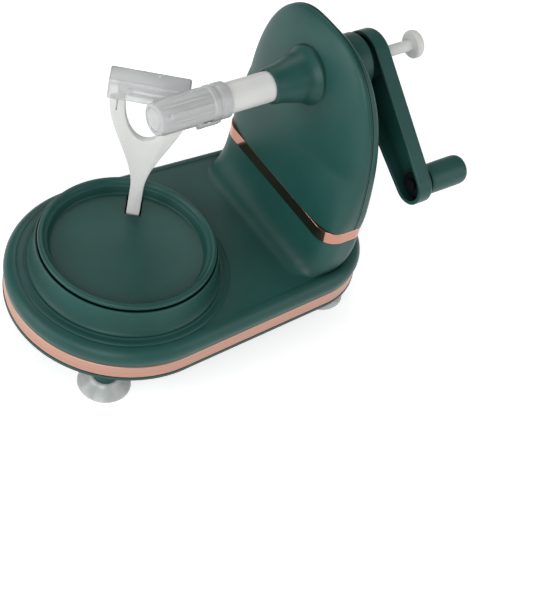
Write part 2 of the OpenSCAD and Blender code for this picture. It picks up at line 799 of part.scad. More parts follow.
// Single right-hand thread on a sleeve, with a crest toward the wheel at the wheel's centre.
module worm() {
    turns = 5;
    seg = 30;
    foot = worm_r - 1.3 * gear_m;
    crest = worm_r + 0.9 * gear_m;
    foot_half = worm_lead / 4 + 1.3 * gear_m * tan(20) - 0.25;
    crest_half = worm_lead / 4 - 0.9 * gear_m * tan(20) - 0.25;
    color(steel) placed() translate([0, worm_y, drive_z]) difference() {
        union() {
            rod_x(-worm_half, worm_half, foot + 0.05, 0, 0);
            loft([for (i = [0:turns * seg])
                let (a = 360 * i / seg + 180 * (turns % 2) + 180, x = worm_lead * (i / seg - turns / 2))
                [for (q = [[foot - 0.3, foot_half], [crest, crest_half], [crest, -crest_half],
                    [foot - 0.3, -foot_half]]) [x + q[1], q[0] * cos(a), q[0] * sin(a)]]]);
        }
        rod_x(-worm_half - 6, worm_half + 6, shaft_r + press_gap, 0, 0);
    }
}

// Four pointed prongs on a disc at the tip of the tube.
module fruit_fork() {
    root = tube_tip_x - 4;
    point = cap_tip_x + 3.2;
    ring = tube_tip_r - 1.9;
    color(steel) placed() difference() {
        union() {
            rod_x(root, tube_tip_x - 0.05, tube_tip_r - 0.1, 0, spindle_z);
            for (a = [0:90:270]) {
                translate([0, ring * cos(a), spindle_z + ring * sin(a)]) rotate([0, 90, 0]) {
                    translate([0, 0, point + 5.5]) cylinder(h = root - point - 5, r = 1.2);
                    translate([0, 0, point]) cylinder(h = 5.5, r1 = 0.2, r2 = 1.2);
                }
            }
        }
        rod_x(root - 1, tube_tip_x + 1, rod_r + run_gap, 0, spindle_z);
    }
}

module push_rod() {
    color(pale) placed() rod_x(tube_tip_x - 3, knob_end_x - 3.5, rod_r, 0, spindle_z);
}

module push_knob() {
    color(pale) placed() difference() {
        spun_x(0, spindle_z) polygon([[0, knob_end_x - 5.9], [knob_r - 0.9, knob_end_x - 5.9],
            [knob_r, knob_end_x - 5], [knob_r, knob_end_x - 1.3], [knob_r - 0.9, knob_end_x - 0.3],
            [knob_r - 3.5, knob_end_x], [0, knob_end_x]]);
        rod_x(knob_end_x - 8.5, knob_end_x - 3.45, rod_r + press_gap, 0, spindle_z);
    }
}

tab_turn = 33;

// Translucent cap over the prongs, ribbed along its length, with collar rings and a lift tab.
module prong_cap() {
    color(clear) placed() difference() {
        union() {
            spun_x(0, spindle_z) polygon([[0, cap_tip_x], [cap_r - 0.5, cap_tip_x], [cap_r,
                cap_tip_x + 0.5],
                [cap_r + 0.1, cap_tip_x + 16.7], [cap_r + 0.4, cap_end_x - 10.6], [cap_r + 1.1,
                    cap_end_x - 10],
                [cap_r + 1.1, cap_end_x - 7.6], [cap_r + 0.5, cap_end_x - 7.1], [cap_r + 0.5,
                    cap_end_x - 5.6],
                [cap_r + 1.1, cap_end_x - 5.1], [cap_r + 1.1, cap_end_x], [0, cap_end_x]]);
            for (a = [15:30:345]) {
                rod_x(cap_tip_x + 2, cap_end_x - 10.6, 0.5, (cap_r + 0.1) * cos(a),
                    spindle_z + (cap_r + 0.1) * sin(a));
            }
            translate([cap_end_x - 20.3, 0, spindle_z]) rotate([tab_turn, 0, 0])
                translate([0, -cap_r - 2.4, -2.5]) cube([13, 3, 5]);
        }
        rod_x(cap_tip_x + 1.5, cap_end_x + 1, tube_tip_r + run_gap, 0, spindle_z);
        rod_x(tube_step_x - 0.2, cap_end_x + 1, tube_r + run_gap, 0, spindle_z);
    }
}

module crank_plan(hub, end) {
    lean = acos((hub - end) / crank_len);
    translate([0, spindle_z]) rotate(180 + crank_drop) {
        circle(r = hub);
        translate([crank_len, 0]) circle(r = end);
        polygon([(hub - 0.12) * [cos(lean), sin(lean)], (hub - 0.12) * [cos(lean), -sin(lean)],
            [crank_len, 0] + (end - 0.12) * [cos(lean), -sin(lean)],
            [crank_len, 0] + (end - 0.12) * [cos(lean), sin(lean)]]);
    }
}

module crank_arm() {
    web = 2.5;
    color(green) placed() difference() {
        union() {
            along_x(crank_x, crank_t) crank_plan(crank_hub_r, crank_end_r);
            rod_x(rear_face_x + 0.5, crank_x + 0.5, bush_r + 1, 0, spindle_z);
        }
        difference() {
            along_x(crank_x - 1, crank_t - web + 1) crank_plan(crank_hub_r - wall, crank_end_r - wall);
            rod_x(crank_x - 1, crank_x + crank_t, bush_r + 1, 0, spindle_z);
            rod_x(crank_x + 5.2, crank_x + crank_t, journal_r + 3, handle_y, handle_z);
        }
        along_x(rear_face_x, crank_gap + 8.5) translate([0, spindle_z])
            driven_section(tube_r + press_gap, tube_flat + press_gap);
        rod_x(crank_x, crank_x + crank_t + 1, rod_r + 0.4, 0, spindle_z);
        rod_x(crank_x, crank_x + crank_t + 1, journal_r + run_gap, handle_y, handle_z);
        translate([crank_x + 4, 0, spindle_z]) rotate([crank_drop, 0, 0]) rotate([90, 0, 0])
            cylinder(h = 13, r = 1.5 + press_gap);
    }
}

module crank_setscrew() {
    color(steel) placed() translate([crank_x + 4, 0, spindle_z]) rotate([crank_drop, 0, 0])
        rotate([90, 0, 0])
        translate([0, 0, tube_flat + 0.05]) cylinder(h = 4.5, r = 1.5);
}

grip_x = crank_x + crank_t;

module handle_grip() {
    color(green) placed() difference() {
        spun_x(handle_y, handle_z) polygon([[0, crank_x + 5], [journal_r, crank_x + 5],
            [journal_r, grip_x + 0.4], [grip_r - 1.1, grip_x + 0.4], [grip_r - 1.1, grip_x + 2],
            [grip_r - 0.6, grip_x + 2.2], [grip_r - 0.2, grip_x + 3], [grip_r, grip_x + 10],
            [grip_r, grip_end_x - 4], [grip_r - 0.4, grip_end_x - 1.8], [grip_r - 1.5, grip_end_x - 0.5],
            [grip_r - 3.5, grip_end_x], [0, grip_end_x]]);
        rod_x(crank_x + 4, grip_x + 12, screw_r + 0.05, handle_y, handle_z);
    }
}

module handle_screw() {
    color(steel) placed() {
        rod_x(crank_x + 3.6, grip_x + 10, screw_r, handle_y, handle_z);
        rod_x(crank_x + 3.9, crank_x + 4.95, journal_r + 2, handle_y, handle_z);
        rod_x(crank_x + 2.2, crank_x + 4, 3, handle_y, handle_z);
    }
}

module dish() {
    slot_r0 = pivot_r - 3.65;
    slot_half = stem_half + 0.95;
    color(green) placed() difference() {
        union() {
            rotate_extrude() polygon([[0, dish_under], [dish_floor_r + 1.5, dish_under],
                [dish_floor_r + 2.8, dish_under + 1.3], [dish_floor_r + 2.8, dish_top - 3.8],
                [dish_r - 0.8, dish_top - 3.4], [dish_r, dish_top - 2.4], [dish_r, dish_top - 0.7],
                [dish_r - 0.7, dish_top], [dish_r - 3.1, dish_top], [dish_r - 3.6, dish_top - 0.8],
                [dish_floor_r + 1.2, dish_top - 1.6], [dish_floor_r + 0.4, dish_floor + 2],
                [dish_floor_r, dish_floor], [0, dish_floor]]);
            rod_z(0, 0, hub_top + 0.05, dish_under + 0.2, flange_r);
        }
        rod_z(0, 0, hub_top - 1, hub_top + 2.5, hub_r + 1);
        dish_frame() {
            translate([slot_r0, -slot_half, dish_under - 1.3])
                cube([dish_floor_r + 0.2 - slot_r0, 2 * slot_half, dish_floor - dish_under + 2.8]);
        }
        for (a = [0:120:240]) {
            rotate([0, 0, a + arm_angle + 60]) rod_z(dish_screw_r, 0, hub_top - 1, dish_under + 0.7,
                screw_r + 0.05);
        }
        dish_frame() {
            for (s = [-1, 1]) {
                rod_z(ear_screw[0], s * ear_screw[1], dish_under - 2.3, dish_under + 1.1, screw_r + 0.05);
            }
        }
    }
}

module turntable_hub() {
    color(nylon) placed() difference() {
        union() {
            rod_z(0, 0, shell_z + 1.1, hub_top - 2, hub_r);
            rod_z(0, 0, drive_z + 2.7, drive_z + 6, hub_r + 2);
            rod_z(0, 0, hub_top - 3, hub_top, flange_r);
        }
        rod_z(0, 0, plate_z - 2, hub_top + 1, journal_r + run_gap);
        rod_z(0, 0, post_top - 0.3, hub_top + 1, hub_r - 1);
        for (a = [0:120:240]) {
            rotate([0, 0, a + arm_angle + 60]) rod_z(dish_screw_r, 0, hub_top - 4, hub_top + 1,
                screw_r + 0.15);
        }
    }
}

module worm_wheel() {
    color(nylon) placed() translate([0, 0, drive_z - 2.5]) linear_extrude(height = 5) difference() {
        gear_plan(wheel_teeth, 0.8, 90 + 180 / wheel_teeth);
        circle(r = hub_r + press_gap);
    }
}

module dish_screws() {
    color(steel) placed() {
        for (a = [0:120:240]) {
            rotate([0, 0, a + arm_angle + 60]) {
                rod_z(dish_screw_r, 0, hub_top - 3.5, dish_under + 0.5, screw_r);
                rod_z(dish_screw_r, 0, hub_top - 4.6, hub_top - 3.05, screw_r + 1.25);
            }
        }
        dish_frame() {
            for (s = [-1, 1]) {
                rod_z(ear_screw[0], s * ear_screw[1], dish_under - 2.8, dish_under + 0.9, screw_r);
                rod_z(ear_screw[0], s * ear_screw[1], dish_under - 4.1, dish_under - 2.7, screw_r + 0.7);
            }
        }
    }
}

// Two ears under the dish carry the pivot of the arm.
module arm_bracket() {
    strap_z = dish_under - 2.6;
    strap_t = 2.5;
    strap_w = 7;
    color(steel) placed() dish_frame() difference() {
        union() {
            for (s = [-1, 1]) {
                translate([pivot_r - 6.25, s > 0 ? ear_y : -ear_y - strap_w, strap_z]) cube([16,
                    strap_w, strap_t]);
                translate([pivot_r - 5, s > 0 ? ear_y : -ear_y - ear_t, pivot_z])
                    cube([10, ear_t, strap_z + 0.3 - pivot_z]);
                translate([pivot_r, s > 0 ? ear_y : -ear_y - ear_t, pivot_z]) rotate([-90, 0, 0])
                    cylinder(h = ear_t, r = pin_r + 2.7);
            }
            translate([pivot_r - 9.75, -ear_y - strap_w, strap_z]) cube([5, 2 * (ear_y + strap_w),
                strap_t]);
        }
        translate([pivot_r, -ear_y - ear_t - 5, pivot_z]) rotate([-90, 0, 0])
            cylinder(h = 2 * (ear_y + ear_t) + 10, r = pin_r + press_gap);
        for (s = [-1, 1]) {
            rod_z(ear_screw[0], s * ear_screw[1], strap_z - 0.7, strap_z + strap_t + 0.8, screw_r + 0.15);
        }
    }
}

module arm_pivot_pin() {
    reach = ear_y + ear_t + 1;
    color(steel) placed() dish_frame() translate([pivot_r, -reach, pivot_z]) rotate([-90, 0, 0])
        cylinder(h = 2 * reach, r = pin_r);
}

// Torsion spring beside the arm, wound on the pivot pin.
module arm_spring() {
    seg = 20;
    turns = 2;
    wire = 0.2;
    pitch = 0.5;
    coil = pin_r + 0.8;
    color(steel) placed() dish_frame() translate([pivot_r, stem_half + 0.35, pivot_z]) {
        loft([for (i = [0:turns * seg]) let (a = -90 + 360 * i / seg, y = pitch * i / seg)
            [for (q = [0:60:300]) let (r = coil + wire * cos(q)) [r * cos(a), y + wire * sin(q),
                r * sin(a)]]]);
    }
}

// Y-shaped arm: a stem that swells in an S-curve to the prongs round a rounded opening.
swell_z0 = dish_floor + 18.4;
swell_z1 = blade_z - 4.6;
tip_z = blade_z + 3.4;
shoulder_z = blade_z - 4.4;
shoulder_step = 0.3;
tip_half = prong_half - 3.8;
stub_r = 1.2;
function ease(t) = t <= 0 ? 0 : t >= 1 ? 1 : t * t * (3 - 2 * t);
function arm_half(z) = stem_half + (prong_half - stem_half) * ease((z - swell_z0) / (swell_z1 - swell_z0));
function gap_half(z) = opening_half * sqrt(max(0, 1 - pow(max(0,
    (shoulder_z - z) / (shoulder_z - crotch_z)), 2)));
edge_steps = 16;

module peeler_arm() {
    side = [for (i = [0:edge_steps]) let (z = pivot_z + (shoulder_z - pivot_z) * i / edge_steps)
        [arm_half(z), z]];
    inside = [for (i = [0:10]) let (z = crotch_z + (shoulder_z - crotch_z) * pow(i / 10, 2))
        [gap_half(z), z]];
    half = concat(side, [[tip_half, shoulder_z + shoulder_step], [tip_half, tip_z], [opening_half,
        tip_z]],
        [for (i = [10:-1:0]) inside[i]]);
    mirrored = [for (i = [len(half) - 2:-1:0]) [-half[i][0], half[i][1]]];
    color(pale) placed() arm_frame() difference() {
        union() {
            translate([pivot_r - arm_t / 2, 0, 0]) rotate([90, 0, 90]) linear_extrude(height = arm_t)
                polygon(concat(half, mirrored));
            translate([pivot_r, -stem_half, pivot_z]) rotate([-90, 0, 0])
                cylinder(h = 2 * stem_half, r = pin_r + 2.1);
        }
        translate([pivot_r, -ear_y, pivot_z]) rotate([-90, 0, 0]) cylinder(h = 2 * ear_y,
            r = pin_r + run_gap);
        translate([pivot_r, -prong_half - 3, blade_z]) rotate([-90, 0, 0])
            cylinder(h = 2 * prong_half + 6, r = stub_r + run_gap);
    }
}

// Swivelling blade: a thin strip with a long slit, turning on a stub at each end.
module peeler_blade() {
    color(steel) placed() arm_frame() {
        difference() {
            translate([pivot_r - 0.5, 0.5 - opening_half, blade_z - 3.2]) cube([1,
                2 * opening_half - 1, 6.4]);
            translate([pivot_r - 1, 3.2 - opening_half, blade_z - 0.9]) cube([2,
                2 * opening_half - 6.4, 1.8]);
        }
        for (s = [-1, 1]) {
            translate([pivot_r, s > 0 ? opening_half - 2.4 : 0.7 - tip_half, blade_z]) rotate([-90, 0, 0])
                cylinder(h = tip_half - opening_half + 1.7, r = stub_r);
        }
    }
}

// Translucent cover over the blade and the tips of the prongs, open below.
cover_near = -tip_half - 1.6;
cover_far = tip_half + 5.4;
cover_low = shoulder_z + shoulder_step + 0.1;
cover_high = tip_z + 5;
cover_in = pivot_r - arm_t / 2 - 1.6;
cover_d = arm_t + 8.1;
cover_t = 1.1;

module blade_cover() {
    color(clear) placed() arm_frame() difference() {
        translate([cover_in, cover_near, cover_low]) cube([cover_d, cover_far - cover_near,
            cover_high - cover_low]);
        translate([cover_in + cover_t, cover_near + 1, cover_low - 1])
            cube([cover_d - 2 * cover_t, cover_far - cover_near - 2, cover_high - cover_low]);
    }
}

base_shell();
pedestal_collar();
base_plate();
base_band();
tower_band();
tower_front_cover();
tower_rear_cover();
front_bush();
rear_bush();
gear_plate();
idler_axles();
gear_plate_screws();
plate_screws();
tower_screws();
turntable_screw();
thrust_washer();
suction_cup_front_near();
suction_cup_front_far();
suction_cup_rear_near();
suction_cup_rear_far();
spindle_tube();
spindle_gear();
spindle_spacer();
fruit_fork();
crank_arm();
crank_setscrew();
handle_grip();
handle_screw();
push_rod();
push_knob();
prong_cap();
idler_gear_upper();
idler_gear_lower();
drive_shaft();
drive_gear();
worm();
dish();
turntable_hub();
worm_wheel();
dish_screws();
arm_bracket();
arm_pivot_pin();
arm_spring();
peeler_arm();
peeler_blade();
blade_cover();
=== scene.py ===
from math import cos, pi, radians, sin, tan
import bmesh
import bpy
from mathutils import Matrix, Vector


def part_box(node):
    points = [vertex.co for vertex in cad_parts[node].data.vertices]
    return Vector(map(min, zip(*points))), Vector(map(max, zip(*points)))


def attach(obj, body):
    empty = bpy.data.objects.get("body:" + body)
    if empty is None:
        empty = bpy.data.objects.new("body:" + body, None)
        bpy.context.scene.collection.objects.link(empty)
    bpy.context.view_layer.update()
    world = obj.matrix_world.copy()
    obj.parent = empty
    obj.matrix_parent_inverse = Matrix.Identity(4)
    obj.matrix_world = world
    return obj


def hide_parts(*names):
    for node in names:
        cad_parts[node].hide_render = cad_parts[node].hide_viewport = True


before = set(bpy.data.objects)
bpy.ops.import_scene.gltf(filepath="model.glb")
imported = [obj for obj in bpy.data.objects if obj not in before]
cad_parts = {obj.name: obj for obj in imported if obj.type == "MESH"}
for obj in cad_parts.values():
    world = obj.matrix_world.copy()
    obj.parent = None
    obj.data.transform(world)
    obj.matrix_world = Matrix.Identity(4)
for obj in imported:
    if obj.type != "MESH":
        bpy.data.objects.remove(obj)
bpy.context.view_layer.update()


# Base housing: a hollow shell moulded in dark green ABS, with a straight side, a rolled edge and a flat deck, and the
# foot of the tower rising from it in one concave sweep. It is screwed to the base plate from below.
# Lengths are in millimetres about the dish axis: X runs to the tower, Y to the far side, and the table is at zero.
MILLIMETRE, WELD = 0.001, 0.004
dish_low, dish_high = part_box("dish")
home = (Matrix.Translation(((dish_low[0] + dish_high[0]) / 2, (dish_low[1] + dish_high[1]) / 2, 0))
        @ Matrix.Scale(MILLIMETRE, 4))

BASE_LENGTH, REAR_FLAT = 101.7, 16.2
FOOT_FRONT, FOOT_REAR = 66.5, 61.5
EDGE_OUT, EDGE_ROLL = 0.7, 6.5
SHELL_Z, BAND_TOP, DECK_Z = 22.4, 31, 42
BAND_GROOVE, DECK_STEP, WELL_RADIUS, SHELL_WALL = 1.6, 0.3, 53.2, 1.2
TOWER_FRONT, TOWER_REAR, TOWER_HALF, FRONT_CORNER, REAR_CORNER = 96.4, 124.5, 55.2, 12, 8.2
TOWER_BAND_LOW, TOWER_BAND_TOP = 66.5, 74.5
SWEEP_FRONT, SWEEP_REAR, SWEEP_SIDE, SWEEP_POWER = 15, 1.2, 1.1, 1.9
SWEEP_FRONT_CORNER, SWEEP_REAR_CORNER = 6, 15.8


def linear(hex_colour):
    """A display colour as the linear one that shaders take."""
    parts = [int(hex_colour[i:i + 2], 16) / 255 for i in (1, 3, 5)]
    return tuple(c / 12.92 if c <= 0.04045 else ((c + 0.055) / 1.055) ** 2.4 for c in parts) + (1.0,)


def add(tree, kind, feeds=(), **settings):
    """A node with its properties and input values, and with its inputs linked from the sockets in feeds."""
    node = tree.nodes.new(kind)
    for name, value in settings.items():
        if hasattr(node, name):
            setattr(node, name, value)
        else:
            node.inputs[name.replace("_", " ")].default_value = value
    for name, socket in feeds:
        tree.links.new(socket, node.inputs[name])
    return node


# Moulded ABS with a fine spark texture: a satin skin whose green drifts a little from place to place, with shade
# painted into its hollows.
green_abs = bpy.data.materials.new("moulded_green_ABS")
green_abs.use_nodes = True
tree = green_abs.node_tree
shader = tree.nodes["Principled BSDF"]
shader.inputs["IOR"].default_value = 1.53
shader.inputs["Specular IOR Level"].default_value = 0.27
spot = add(tree, "ShaderNodeTexCoord")
drift = add(tree, "ShaderNodeTexNoise", [("Vector", spot.outputs["Object"])], Scale=1 / 0.030, Detail=3.0)
tint = add(tree, "ShaderNodeValToRGB", [("Fac", drift.outputs["Fac"])])
tint.color_ramp.elements[0].position, tint.color_ramp.elements[0].color = 0.3, linear("#1c4843")
tint.color_ramp.elements[1].position, tint.color_ramp.elements[1].color = 0.7, linear("#22504b")
# Painted shade: an ambient-occlusion term darkens the green toward black in gaps, seams and pockets within 12 mm.
painted_pocket_shade = add(tree, "ShaderNodeAmbientOcclusion", [("Color", tint.outputs["Color"])], Distance=0.012)
tree.links.new(painted_pocket_shade.outputs["Color"], shader.inputs["Base Color"])
grain = add(tree, "ShaderNodeTexNoise", [("Vector", spot.outputs["Object"])], Scale=1 / 0.0007, Detail=2.0)
gloss = add(tree, "ShaderNodeMapRange", [("Value", grain.outputs["Fac"])], To_Min=0.36, To_Max=0.46)
tree.links.new(gloss.outputs["Result"], shader.inputs["Roughness"])
relief = add(tree, "ShaderNodeBump", [("Height", grain.outputs["Fac"])], Strength=0.06, Distance=0.0001)
tree.links.new(relief.outputs["Normal"], shader.inputs["Normal"])


def dress(material, *names):
    """Gives CAD nodes that stay in view their material."""
    for name in names:
        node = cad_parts[name]
        if not node.material_slots:
            node.data.materials.append(material)
        for held in node.material_slots:
            held.material = material


def seat(bm, name, material, body, nodes, place=Matrix(), crease=38):
    """Closes a piece made in millimetres, puts it in the frame and hangs it on its body."""
    bmesh.ops.remove_doubles(bm, verts=bm.verts, dist=WELD)
    bmesh.ops.recalc_face_normals(bm, faces=bm.faces)
    bm.transform(home @ place)
    for face in bm.faces:
        face.smooth = True
    mesh = bpy.data.meshes.new(name)
    bm.to_mesh(mesh)
    bm.free()
    mesh.set_sharp_from_angle(angle=radians(crease))
    mesh.materials.append(material)
    piece = bpy.data.objects.new(name, mesh)
    bpy.context.scene.collection.objects.link(piece)
    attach(piece, body)
    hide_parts(*nodes)
    return piece


def stadium(bm, z, front, rear, length=BASE_LENGTH, flat=REAR_FLAT, count=192):
    """A hoop round a front circle and, a length behind it along X, two rear corners either side of a flat end."""
    hoop = bmesh.ops.create_circle(bm, segments=count, radius=1)["verts"]
    bmesh.ops.rotate(bm, verts=hoop, matrix=Matrix.Rotation(pi / count, 3, "Z"))
    corner = rear - flat
    for v in hoop:
        if v.co.x * length + abs(v.co.y) * flat + corner > front:
            v.co = (length + corner * v.co.x, (flat if v.co.y > 0 else -flat) + corner * v.co.y, z)
        else:
            v.co = (front * v.co.x, front * v.co.y, z)
    return hoop


def rounded_box(bm, z, x0, x1, half, front_corner, rear_corner, count=192):
    """A hoop round a rectangle with rounded corners."""
    hoop = bmesh.ops.create_circle(bm, segments=count, radius=1)["verts"]
    bmesh.ops.rotate(bm, verts=hoop, matrix=Matrix.Rotation(pi / count, 3, "Z"))
    for v in hoop:
        corner = rear_corner if v.co.x > 0 else front_corner
        v.co = ((x1 - corner if v.co.x > 0 else x0 + corner) + corner * v.co.x,
                (half - corner if v.co.y > 0 else corner - half) + corner * v.co.y, z)
    return hoop


def tower_ring(bm, z, inset):
    """A hoop round the foot of the tower, set in from its face."""
    return rounded_box(bm, z, TOWER_FRONT + inset, TOWER_REAR - inset, TOWER_HALF - inset,
                       FRONT_CORNER - inset, REAR_CORNER - inset)


def hoop_edges(hoop):
    """The edges of a hoop, once each."""
    inside = set(hoop)
    return [e for v in hoop for e in v.link_edges if e.other_vert(v) in inside and v.index <= e.other_vert(v).index]


def skin(bm, hoops):
    """Bridges each hoop to the next."""
    bm.verts.index_update()
    loops = [hoop_edges(hoop) for hoop in hoops]
    for low, high in zip(loops, loops[1:]):
        bmesh.ops.bridge_loops(bm, edges=low + high)
    return loops


bm = bmesh.new()
skirt = [(SHELL_Z, -BAND_GROOVE), (BAND_TOP - 0.1, -BAND_GROOVE), (BAND_TOP + 0.05, -0.35), (BAND_TOP + 0.4, 0)]
for step in range(13):
    turn = radians(90 * step / 12)
    skirt.append((DECK_Z - EDGE_ROLL + EDGE_ROLL * sin(turn), EDGE_OUT - EDGE_ROLL * (1 - cos(turn))))
# A fine step marks where the roll ends and the deck begins.
skirt += [(DECK_Z - 0.05, EDGE_OUT - EDGE_ROLL - 0.25), (DECK_Z - DECK_STEP, EDGE_OUT - EDGE_ROLL - 0.35)]
outside = skin(bm, [stadium(bm, z, FOOT_FRONT + out, FOOT_REAR + out) for z, out in skirt])
sweep = []
for step in range(17):
    t = (step / 16) ** 2
    near = (1 - t ** 0.5) ** SWEEP_POWER
    z = DECK_Z - DECK_STEP + t * (TOWER_BAND_LOW + 0.2 - DECK_Z)
    sweep.append(rounded_box(bm, z, TOWER_FRONT - SWEEP_FRONT * near, TOWER_REAR + SWEEP_REAR * near,
                             TOWER_HALF - SWEEP_SIDE * near, FRONT_CORNER + SWEEP_FRONT_CORNER * near,
                             REAR_CORNER + SWEEP_REAR_CORNER * near))
for z, inset in ((TOWER_BAND_LOW - 0.05, 0.3), (TOWER_BAND_LOW, BAND_GROOVE), (TOWER_BAND_LOW + 2, BAND_GROOVE)):
    sweep.append(tower_ring(bm, z, inset))
tower_foot = skin(bm, sweep)
well = bmesh.ops.create_circle(bm, segments=192, radius=WELL_RADIUS)["verts"]
bmesh.ops.translate(bm, verts=well, vec=(0, 0, DECK_Z - DECK_STEP))
bm.verts.index_update()
bmesh.ops.triangle_fill(bm, use_beauty=True, edges=outside[-1] + tower_foot[0] + hoop_edges(well))
bmesh.ops.remove_doubles(bm, verts=bm.verts, dist=WELD)
bmesh.ops.recalc_face_normals(bm, faces=bm.faces)
bmesh.ops.solidify(bm, geom=bm.faces[:], thickness=SHELL_WALL)
seat(bm, "base_housing", green_abs, "base", ["base_shell"])


# Collar round the dish: a ring in the same ABS with a thin lip outside the dish rim, that curves out to a soft foot on
# the deck. It is glued into the well of the deck and leaves a dark running gap round the rim.
COLLAR_TOP, LIP_RADIUS, LIP_HEIGHT, FLARE_OUT, FLARE_DROP = 57.5, 50.6, 1.4, 3.8, 15.2


def turned(bm, profile, steps=160):
    """Spins a closed outline of (radius, height, rounding) about Z."""
    points = [bm.verts.new((r, 0, h)) for r, h, _ in profile]
    edges = [bm.edges.new(pair) for pair in zip(points, points[1:] + points[:1])]
    for corner, (_, _, rounding) in zip(points, profile):
        if rounding:
            bmesh.ops.bevel(bm, geom=[corner], offset=rounding, segments=4, profile=0.5, affect="VERTICES",
                            material=-1)
    wire = [e for e in bm.edges if e.is_wire]
    verts = list({v for e in wire for v in e.verts})
    bmesh.ops.spin(bm, geom=verts + wire, cent=(0, 0, 0), axis=(0, 0, 1), angle=2 * pi, steps=steps, use_merge=True)
    bmesh.ops.remove_doubles(bm, verts=bm.verts, dist=WELD)


bm = bmesh.new()
profile = [(46.6, COLLAR_TOP, 0.3), (LIP_RADIUS, COLLAR_TOP, 0.2), (LIP_RADIUS, COLLAR_TOP + LIP_HEIGHT, 0.2),
           (LIP_RADIUS + 0.7, COLLAR_TOP + LIP_HEIGHT, 0.3)]
for step in range(15):
    turn = radians(90 * step / 14)
    profile.append((LIP_RADIUS + 0.9 + FLARE_OUT * (1 - cos(turn)), COLLAR_TOP + 1 - FLARE_DROP * sin(turn), 0))
profile += [(55.6, 43.6, 0.6), (56.8, 42.8, 0.5), (59.2, 42.7, 0.5), (60.2, 42.2, 0.4), (60.4, 41.8, 0),
            (52.9, 41.8, 0), (51.9, 42.9, 0), (50.4, 44.4, 0), (48.8, 48, 0), (47.8, 54.6, 0), (46.6, 55.7, 0)]
turned(bm, profile)
seat(bm, "collar_ring", green_abs, "base", ["pedestal_collar"], crease=50)


# Base plate: the flat green cover under the housing, with the cup sockets and the bearings of the drive shaft.
# Five steel screws hold it, sunk into its underside.
dress(green_abs, "base_plate")


# Base band: a strip of anodised aluminium in rose gold, brushed along its length, wrapped into a groove of the
# housing and held between it and the base plate.
brushed_rose = bpy.data.materials.new("brushed_rose_anodised_aluminium")
brushed_rose.use_nodes = True
tree = brushed_rose.node_tree
shader = tree.nodes["Principled BSDF"]
shader.inputs["Metallic"].default_value = 0.6
spot = add(tree, "ShaderNodeTexCoord")
# Brush lines about 0.5 mm apart run round the band, drawn coarser than real ones so that they show.
lines = add(tree, "ShaderNodeMapping", [("Vector", spot.outputs["Object"])])
lines.inputs["Scale"].default_value = (12, 12, 1 / 0.0005)
brush = add(tree, "ShaderNodeTexNoise", [("Vector", lines.outputs["Vector"])], Scale=1.0, Detail=2.0)
tint = add(tree, "ShaderNodeValToRGB", [("Fac", brush.outputs["Fac"])])
tint.color_ramp.elements[0].position, tint.color_ramp.elements[0].color = 0.25, linear("#b88b7a")
tint.color_ramp.elements[1].position, tint.color_ramp.elements[1].color = 0.75, linear("#c69a88")
tree.links.new(tint.outputs["Color"], shader.inputs["Base Color"])
gloss = add(tree, "ShaderNodeMapRange", [("Value", brush.outputs["Fac"])], To_Min=0.36, To_Max=0.5)
tree.links.new(gloss.outputs["Result"], shader.inputs["Roughness"])

bm = bmesh.new()
strip = [(SHELL_Z + 0.05, -1.5), (SHELL_Z + 0.05, -0.3), (SHELL_Z + 0.35, 0), (BAND_TOP - 0.4, 0),
         (BAND_TOP - 0.1, -0.3), (BAND_TOP - 0.1, -1.5)]
loops = skin(bm, [stadium(bm, z, FOOT_FRONT + out, FOOT_REAR + out) for z, out in strip])
bmesh.ops.bridge_loops(bm, edges=loops[-1] + loops[0])
seat(bm, "base_trim_band", brushed_rose, "base", ["base_band"])


# Suction feet: four cups cast in clear soft vinyl, with a thin lip that spreads on the table.
# Each is pressed by its stud into a socket of the base plate.
clear_vinyl = bpy.data.materials.new("clear_cast_vinyl")
clear_vinyl.use_nodes = True
tree = clear_vinyl.node_tree
shader = tree.nodes["Principled BSDF"]
shader.inputs["IOR"].default_value = 1.53
shader.inputs["Transmission Weight"].default_value = 0.5
spot = add(tree, "ShaderNodeTexCoord")
haze = add(tree, "ShaderNodeTexNoise", [("Vector", spot.outputs["Object"])], Scale=1 / 0.004, Detail=2.0)
tint = add(tree, "ShaderNodeValToRGB", [("Fac", haze.outputs["Fac"])])
tint.color_ramp.elements[0].color = linear("#c3c8c7")
tint.color_ramp.elements[1].color = linear("#d3d7d6")
tree.links.new(tint.outputs["Color"], shader.inputs["Base Color"])
gloss = add(tree, "ShaderNodeMapRange", [("Value", haze.outputs["Fac"])], To_Min=0.14, To_Max=0.3)
tree.links.new(gloss.outputs["Result"], shader.inputs["Roughness"])

for corner in ("front_near", "front_far", "rear_near", "rear_far"):
    low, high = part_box("suction_cup_" + corner)
    middle = home.inverted() @ Vector(((low[0] + high[0]) / 2, (low[1] + high[1]) / 2, 0))
    bm = bmesh.new()
    turned(bm, [(14, 0, 0), (15.2, 0, 0.2), (15.2, 0.7, 0.3), (11.8, 3.4, 1.2), (9, 5.4, 1), (8, 6.6, 0.4),
                (2.95, 6.6, 0), (2.95, 20.2, 0), (0, 20.2, 0), (0, 4.8, 0), (6.4, 4, 1), (10.6, 2.4, 1)], steps=72)
    seat(bm, "vinyl_cup_" + corner, clear_vinyl, "base", ["suction_cup_" + corner],
         Matrix.Translation((middle.x, middle.y, 0)))


